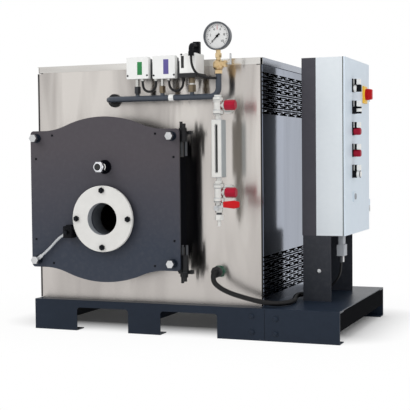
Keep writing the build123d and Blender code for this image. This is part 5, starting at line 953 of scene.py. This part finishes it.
def drawDial(spec):
    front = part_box("gauge_dial")[0][1] / mm
    middle = Vector((spec["centre"][0], front, spec["centre"][1])) * mm

    def turnTo(angle):
        return Matrix.Translation(middle) @ Matrix.Rotation(-math.radians(angle), 4, "Y")

    def tick(inner, outer, width):
        fore, aft = spec["tickDepth"]
        return slab((inner, fore, -width / 2), (outer, aft, width / 2), spec["tickEase"])

    marks = []
    longTick, shortTick = [tick(spec["outer"] - spec[kind][0], spec["outer"], spec[kind][1])
                           for kind in ("long", "short")]
    for index in range(spec["ticks"]):
        angle = spec["start"] - spec["sweep"] * index / (spec["ticks"] - 1)
        marks.append(copyTo(shortTick if index % 3 else longTick, turnTo(angle)))
    for start in (longTick, shortTick):
        bpy.data.objects.remove(start)
    for index, figure in enumerate(spec["figures"]):
        angle = math.radians(spec["start"] - spec["sweep"] * index / (len(spec["figures"]) - 1))
        bpy.ops.object.select_all(action="DESELECT")
        bpy.ops.object.text_add()
        text = bpy.context.active_object
        text.data.body = figure
        text.data.size = spec["figureSize"] * mm
        text.data.align_x = "CENTER"
        text.data.align_y = "CENTER"
        text.data.extrude = spec["figureDepth"] * mm
        bpy.ops.object.convert(target="MESH")
        text = bpy.context.active_object
        across, up = math.cos(angle) * spec["figureRadius"], math.sin(angle) * spec["figureRadius"]
        text.location = middle + Vector((across, -spec["figureDepth"], up)) * mm
        text.rotation_euler = (math.radians(90), 0, 0)
        marks.append(bakePlace())
    tip, back, width = spec["pointer"]
    fore, aft = spec["pointerDepth"]
    blade = slab((-back, fore, -width), (tip, aft, width))
    bpy.ops.object.mode_set(mode="EDIT")
    pickFaces(lambda spot, normal: normal.x > facing)
    bpy.ops.transform.resize(value=(1, 1, spec["pointerTip"]),
                             center_override=(tip * mm, (fore + aft) / 2 * mm, 0))
    bpy.ops.object.mode_set(mode="OBJECT")
    easeEdges(blade, spec["pointerEase"])
    blade.data.transform(turnTo(spec["start"]))
    hub = turned(middle / mm + Vector((0, spec["hubLift"], 0)), toFront, spec["hub"])
    finishPiece(joined(marks + [blade, hub]), "dialMarks", "deviceBlack")
    near, away, thick = spec["redMark"]
    red = tick(near, away, thick)
    red.data.transform(turnTo(90) @ Matrix.Translation((0, spec["redLift"] * mm, 0)))
    finishPiece(red, "dialRedMark", "leverRed")


drawDial(dialMarks)
print("dial drawn")

# black strips down the corners between the front and side sheets
cornerDarkStrip = {
    "left": ((-633.2, -300.6, 123), (-627, -291, 1033)),
    "right": ((320, -300.6, 123), (326.8, -291, 1033)), "ease": 0.5,
}
finishPiece(joined([slab(*cornerDarkStrip[edge], cornerDarkStrip["ease"]) for edge in ("left", "right")]),
            "cornerDarkStrip", "blackRubber")

# pan-head screws along the edges of the rear sheet
casingScrews = {
    "steps": [(-0.4, 6.2), (0.4, 6.4), (0.5, 4.6), (1.8, 4.0), (2.6, 2.4)], "sides": 16, "rear": 400,
    "columns": (-612, 306), "rows": (170, 330, 490, 650, 810, 970),
    "lip": (-590, -375, -153, 69, 284), "lipHeight": 1049,
}


def fitCasingScrews(spec):
    screw = turned(origin, toRear, spec["steps"], spec["sides"])
    places = [(x, spec["rear"], z) for x in spec["columns"] for z in spec["rows"]]
    places += [(x, spec["rear"], spec["lipHeight"]) for x in spec["lip"]]
    finishPiece(spread(screw, places), "casingScrews", "zinc")


fitCasingScrews(casingScrews)

# the right panel again, with its vent slots opened out to their full width
ventSlots = {
    "face": 329, "deep": 6, "size": (98, 5.6), "pitch": (114, 8.4), "columns": 6, "rows": 19,
    "middle": 50, "heights": (929, 233), "mergeGap": 0.01, "flatAngle": 1,
}


def openVents(spec):
    sheet = copyTo(nodes["casing_right_panel"], Matrix.Identity(4))
    selectOnly(sheet)
    bpy.ops.object.mode_set(mode="EDIT")
    bpy.ops.mesh.select_all(action="SELECT")
    bpy.ops.mesh.remove_doubles(threshold=spec["mergeGap"] * mm)
    bpy.ops.mesh.dissolve_limited(angle_limit=math.radians(spec["flatAngle"]))
    bpy.ops.object.mode_set(mode="OBJECT")
    wide, tall = spec["size"]
    cutter = slab((spec["face"] - spec["deep"] / 2, -wide / 2, -tall / 2),
                  (spec["face"] + spec["deep"] / 2, wide / 2, tall / 2))
    aside, above = spec["pitch"]
    shifts = []
    for height in spec["heights"]:
        for row in range(spec["rows"]):
            stagger = (row % 2 - 0.5) * aside / 2  # every other row is moved half a slot
            up = height + (row - (spec["rows"] - 1) / 2) * above
            start = spec["middle"] + stagger - (spec["columns"] - 1) / 2 * aside
            shifts += [(0, start + column * aside, up) for column in range(spec["columns"])]
    cutters = spread(cutter, shifts)
    selectOnly(sheet)
    cut = sheet.modifiers.new("slots", "BOOLEAN")
    cut.operation = "DIFFERENCE"
    cut.object = cutters
    bpy.ops.object.modifier_apply(modifier="slots")
    bpy.data.objects.remove(cutters)
    finishPiece(sheet, "ventedPanel", "sideSteelPaintedShade")
    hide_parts("casing_right_panel")


openVents(ventSlots)
print("casing trimmed")

# a dark seal round the cabinet's mouth, made wide enough to stand also for the shadow in the door's seam:
# partly seal, partly painted shade
cabinetTrim = {
    "sealAndShadeLow": (584.6, -95.5, 378.5), "sealAndShadeHigh": (587.9, 329.5, 1071.5), "sealAndShadeWidth": 9, "sealAndShadeEase": 0.25,
}


def trimCabinet(spec):
    sealAndShade = slab(spec["sealAndShadeLow"], spec["sealAndShadeHigh"])
    bpy.ops.object.mode_set(mode="EDIT")
    pickFaces(lambda spot, normal: abs(normal.x) > facing)
    bpy.ops.mesh.inset(thickness=spec["sealAndShadeWidth"] * mm, use_individual=True)
    bpy.ops.mesh.delete(type="FACE")
    bpy.ops.mesh.select_mode(type="EDGE")
    bpy.ops.mesh.select_all(action="DESELECT")
    bpy.ops.mesh.select_non_manifold()
    bpy.ops.mesh.bridge_edge_loops()
    bpy.ops.mesh.select_all(action="SELECT")
    bpy.ops.mesh.normals_make_consistent(inside=False)
    bpy.ops.object.mode_set(mode="OBJECT")
    easeEdges(sealAndShade, spec["sealAndShadeEase"], 1)
    finishPiece(sealAndShade, "cabinetSealAndSeamShade", "blackRubber")


trimCabinet(cabinetTrim)
print("cabinet trimmed")

# five devices on the cabinet door: a plate, a pale holder above and a selector or lamp below
doorDevices = {
    "across": 35, "face": 595.5, "drop": -11.5, "sides": 22,
    "heights": {"selector": [967], "paleSelector": [881], "redLamp": [797, 711], "whiteLamp": [628]},
    "plate": ((595, -15, -26), (600.5, 15, 26), 0.9), "holder": ((599, -12, 3), (626, 12, 25), 0.9),
    "bar": ((603.5, -12.6, 2.4), (613, 12.6, 25.6), 0.9),  # corners and ease
    "grip": ((609, -8, -25), (629, 8, 2), 1.5), "paleGrip": ((611, -8.5, -18), (629.6, 8.5, -5), 0.8),
    "collar": [(3, 14.5), (15, 14.5), (16, 13.4)],
    "rim": [(27.5, 13.3), (28, 14.1), (30, 14.1), (30.5, 13)],
    "redLamp": [(4, 14.3), (13, 14.3), (13.6, 13.3), (14.6, 13.3), (15.2, 14.3), (29, 14), (32, 11.5),
                (33, 6)],
    "whiteLamp": [(14, 13.2), (29, 13.2), (32, 11), (33, 6)],
}


def fitDevices(spec):
    black, pale, red = [], [], []
    allHeights = [z for group in spec["heights"].values() for z in group]
    for key, group in (("plate", black), ("holder", pale), ("bar", black)):
        group.append(spread(slab(*spec[key]), [(0, spec["across"], z) for z in allHeights]))
    for kind, heights in spec["heights"].items():
        for z in heights:
            foot = (spec["face"], spec["across"], z + spec["drop"])
            shift = [(0, spec["across"], z)]
            if kind != "redLamp":
                collar = turned(foot, toRight, spec["collar"], spec["sides"])
                (pale if kind == "selector" else black).append(collar)
            if kind in ("selector", "paleSelector"):
                black.append(spread(slab(*spec["grip"]), shift))
            if kind == "paleSelector":
                pale.append(spread(slab(*spec["paleGrip"]), shift))
            if kind == "whiteLamp":
                black.append(turned(foot, toRight, spec["rim"], spec["sides"]))
            if kind in ("redLamp", "whiteLamp"):
                lamp = turned(foot, toRight, spec[kind], spec["sides"])
                (red if kind == "redLamp" else pale).append(lamp)
    for name, group, finish, slot in (("deviceBodies", black, "deviceBlack", "device_black"),
                                      ("deviceHolders", pale, "plainWhite", "device_grey"),
                                      ("redLamps", red, "redPlastic", "red_plastic")):
        finishPiece(joined(group), name, finish, "control_cabinet_door")
        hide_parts("control_devices")


fitDevices(doorDevices)

# the main switch: a thick yellow plate and a red knob with a grip across it
mainSwitch = {
    "plate": ((595, 204, 905), (601.5, 268, 975)), "rim": 5, "rise": 1.6, "plateEase": 0.7,
    "hub": ((603, 236, 942), [(0, 23), (4, 23), (5.5, 21)]), "hubSides": 32,
    "grip": ((607, 222, 918), (629, 250, 966)), "taper": 0.84, "gripEase": 2.2,
}


def fitMainSwitch(spec):
    plate = slab(*spec["plate"])
    bpy.ops.object.mode_set(mode="EDIT")
    pickFaces(lambda spot, normal: normal.x > facing)
    bpy.ops.mesh.inset(thickness=spec["rim"] * mm)
    bpy.ops.mesh.extrude_region_move(TRANSFORM_OT_translate={"value": (spec["rise"] * mm, 0, 0)})
    bpy.ops.object.mode_set(mode="OBJECT")
    easeEdges(plate, spec["plateEase"])
    finishPiece(plate, "switchPlate", "signalYellow", "control_cabinet_door")
    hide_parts("main_switch_plate")
    foot, steps = spec["hub"]
    hub = turned(foot, toRight, steps, spec["hubSides"])
    grip = slab(*spec["grip"])
    bpy.ops.object.mode_set(mode="EDIT")
    pickFaces(lambda spot, normal: normal.x > facing)
    bpy.ops.transform.resize(value=(1, spec["taper"], spec["taper"]),
                             center_override=[part * mm for part in (spec["grip"][1][0], *foot[1:])])
    bpy.ops.object.mode_set(mode="OBJECT")
    easeEdges(grip, spec["gripEase"], 3)
    knob = finishPiece(joined([hub, grip]), "switchKnob", "leverRed", "main_switch")
    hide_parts("main_switch_knob")


fitMainSwitch(mainSwitch)
print("devices fitted")

# white floor and background, with soft lamps
studio = {
    "floorSize": 40.0, "floorTone": (0.84, 0.84, 0.84, 1), "patchScale": 6.0, "patchShade": 0.99,
    "footprint": ((-0.632, 0.58), (-0.12, 0.41)),  # where the floor stays darkest, on X and Y
    "glow": (0.04, 0.9, 0.06), "glowReach": (0.0, 0.25, 0.8),  # white under the skid, near it and far off
    "worldTone": (1, 1, 1, 1), "worldLevel": 0.5, "backLevel": 1.0,
    "lamps": [  # name, place, aim, size, watts
        ("keyLamp", (-2.6, -3.6, 3.4), (-0.1, 0, 0.5), 3.0, 110),
        ("fillLamp", (3.4, -2.6, 2.2), (0.3, 0, 0.6), 2.6, 45),
        ("topLamp", (0.2, 0.4, 4.0), (0, 0, 0.6), 3.0, 60),
    ],
}


def seenRays(tree):
    path = tree.nodes.new("ShaderNodeLightPath")
    seen = path.outputs["Is Camera Ray"]
    for kind in ("Is Glossy Ray", "Is Transmission Ray"):
        either = tree.nodes.new("ShaderNodeMath")
        either.operation = "MAXIMUM"
        tree.links.new(seen, either.inputs[0])
        tree.links.new(path.outputs[kind], either.inputs[1])
        seen = either.outputs[0]
    return seen


def layFloor(spec):
    bpy.ops.object.select_all(action="DESELECT")
    bpy.ops.mesh.primitive_plane_add(size=spec["floorSize"], location=(0, 0, cadBox[0][2]))
    floor = bpy.context.active_object
    floor.name = "studioFloor"
    finish = Finish("studioFloor", Roughness=0.9)
    patch = tuple(c * spec["patchShade"] for c in spec["floorTone"])
    finish.drive(Base_Color=finish.blend(finish.noise(spec["patchScale"]), spec["floorTone"], patch))
    tree = finish.tree
    glow = tree.nodes.new("ShaderNodeEmission")
    both = tree.nodes.new("ShaderNodeMixShader")
    beyond = []  # how far a spot of the floor lies outside the footprint
    for letter, (low, high) in zip("XY", spec["footprint"]):
        aside = finish.axis(letter) - (low + high) / 2
        off = finish.node("ShaderNodeMath", {"operation": "ABSOLUTE"}, {0: aside}) - (high - low) / 2
        beyond.append(finish.node("ShaderNodeMath", {"operation": "MAXIMUM"}, {0: off, 1: 0.0}))
    away = (beyond[0] * beyond[0] + beyond[1] * beyond[1]) ** 0.5
    near, middle, end = spec["glowReach"]
    under, rise, rest = spec["glow"]
    level = finish.band(away, near, middle) * rise + finish.band(away, middle, end) * rest + under
    finish.plug(both.inputs[0], level * Wire(finish, seenRays(tree)))
    tree.links.new(finish.shader.outputs[0], both.inputs[1])
    tree.links.new(glow.outputs[0], both.inputs[2])
    tree.links.new(both.outputs[0], tree.nodes["Material Output"].inputs["Surface"])
    floor.data.materials.append(finish.material)


def lightStudio(spec):
    world = bpy.data.worlds.new("studioWorld")
    scene.world = world
    world.use_nodes = True
    tree = world.node_tree
    ground = tree.nodes["Background"]
    ground.inputs["Color"].default_value = spec["worldTone"]
    level = tree.nodes.new("ShaderNodeMapRange")
    level.inputs["To Min"].default_value = spec["worldLevel"]
    level.inputs["To Max"].default_value = spec["backLevel"]
    tree.links.new(seenRays(tree), level.inputs["Value"])
    tree.links.new(level.outputs[0], ground.inputs["Strength"])
    for name, place, aim, size, watts in spec["lamps"]:
        data = bpy.data.lights.new(name, "AREA")
        data.shape = "SQUARE"
        data.size = size
        data.energy = watts
        lamp = bpy.data.objects.new(name, data)
        lamp.location = place
        lamp.rotation_euler = (Vector(aim) - Vector(place)).to_track_quat("-Z", "Y").to_euler()
        lamp.visible_glossy = False  # the bare sheets show the room, not the lamps
        scene.collection.objects.link(lamp)


layFloor(studio)
lightStudio(studio)
print("studio lit")
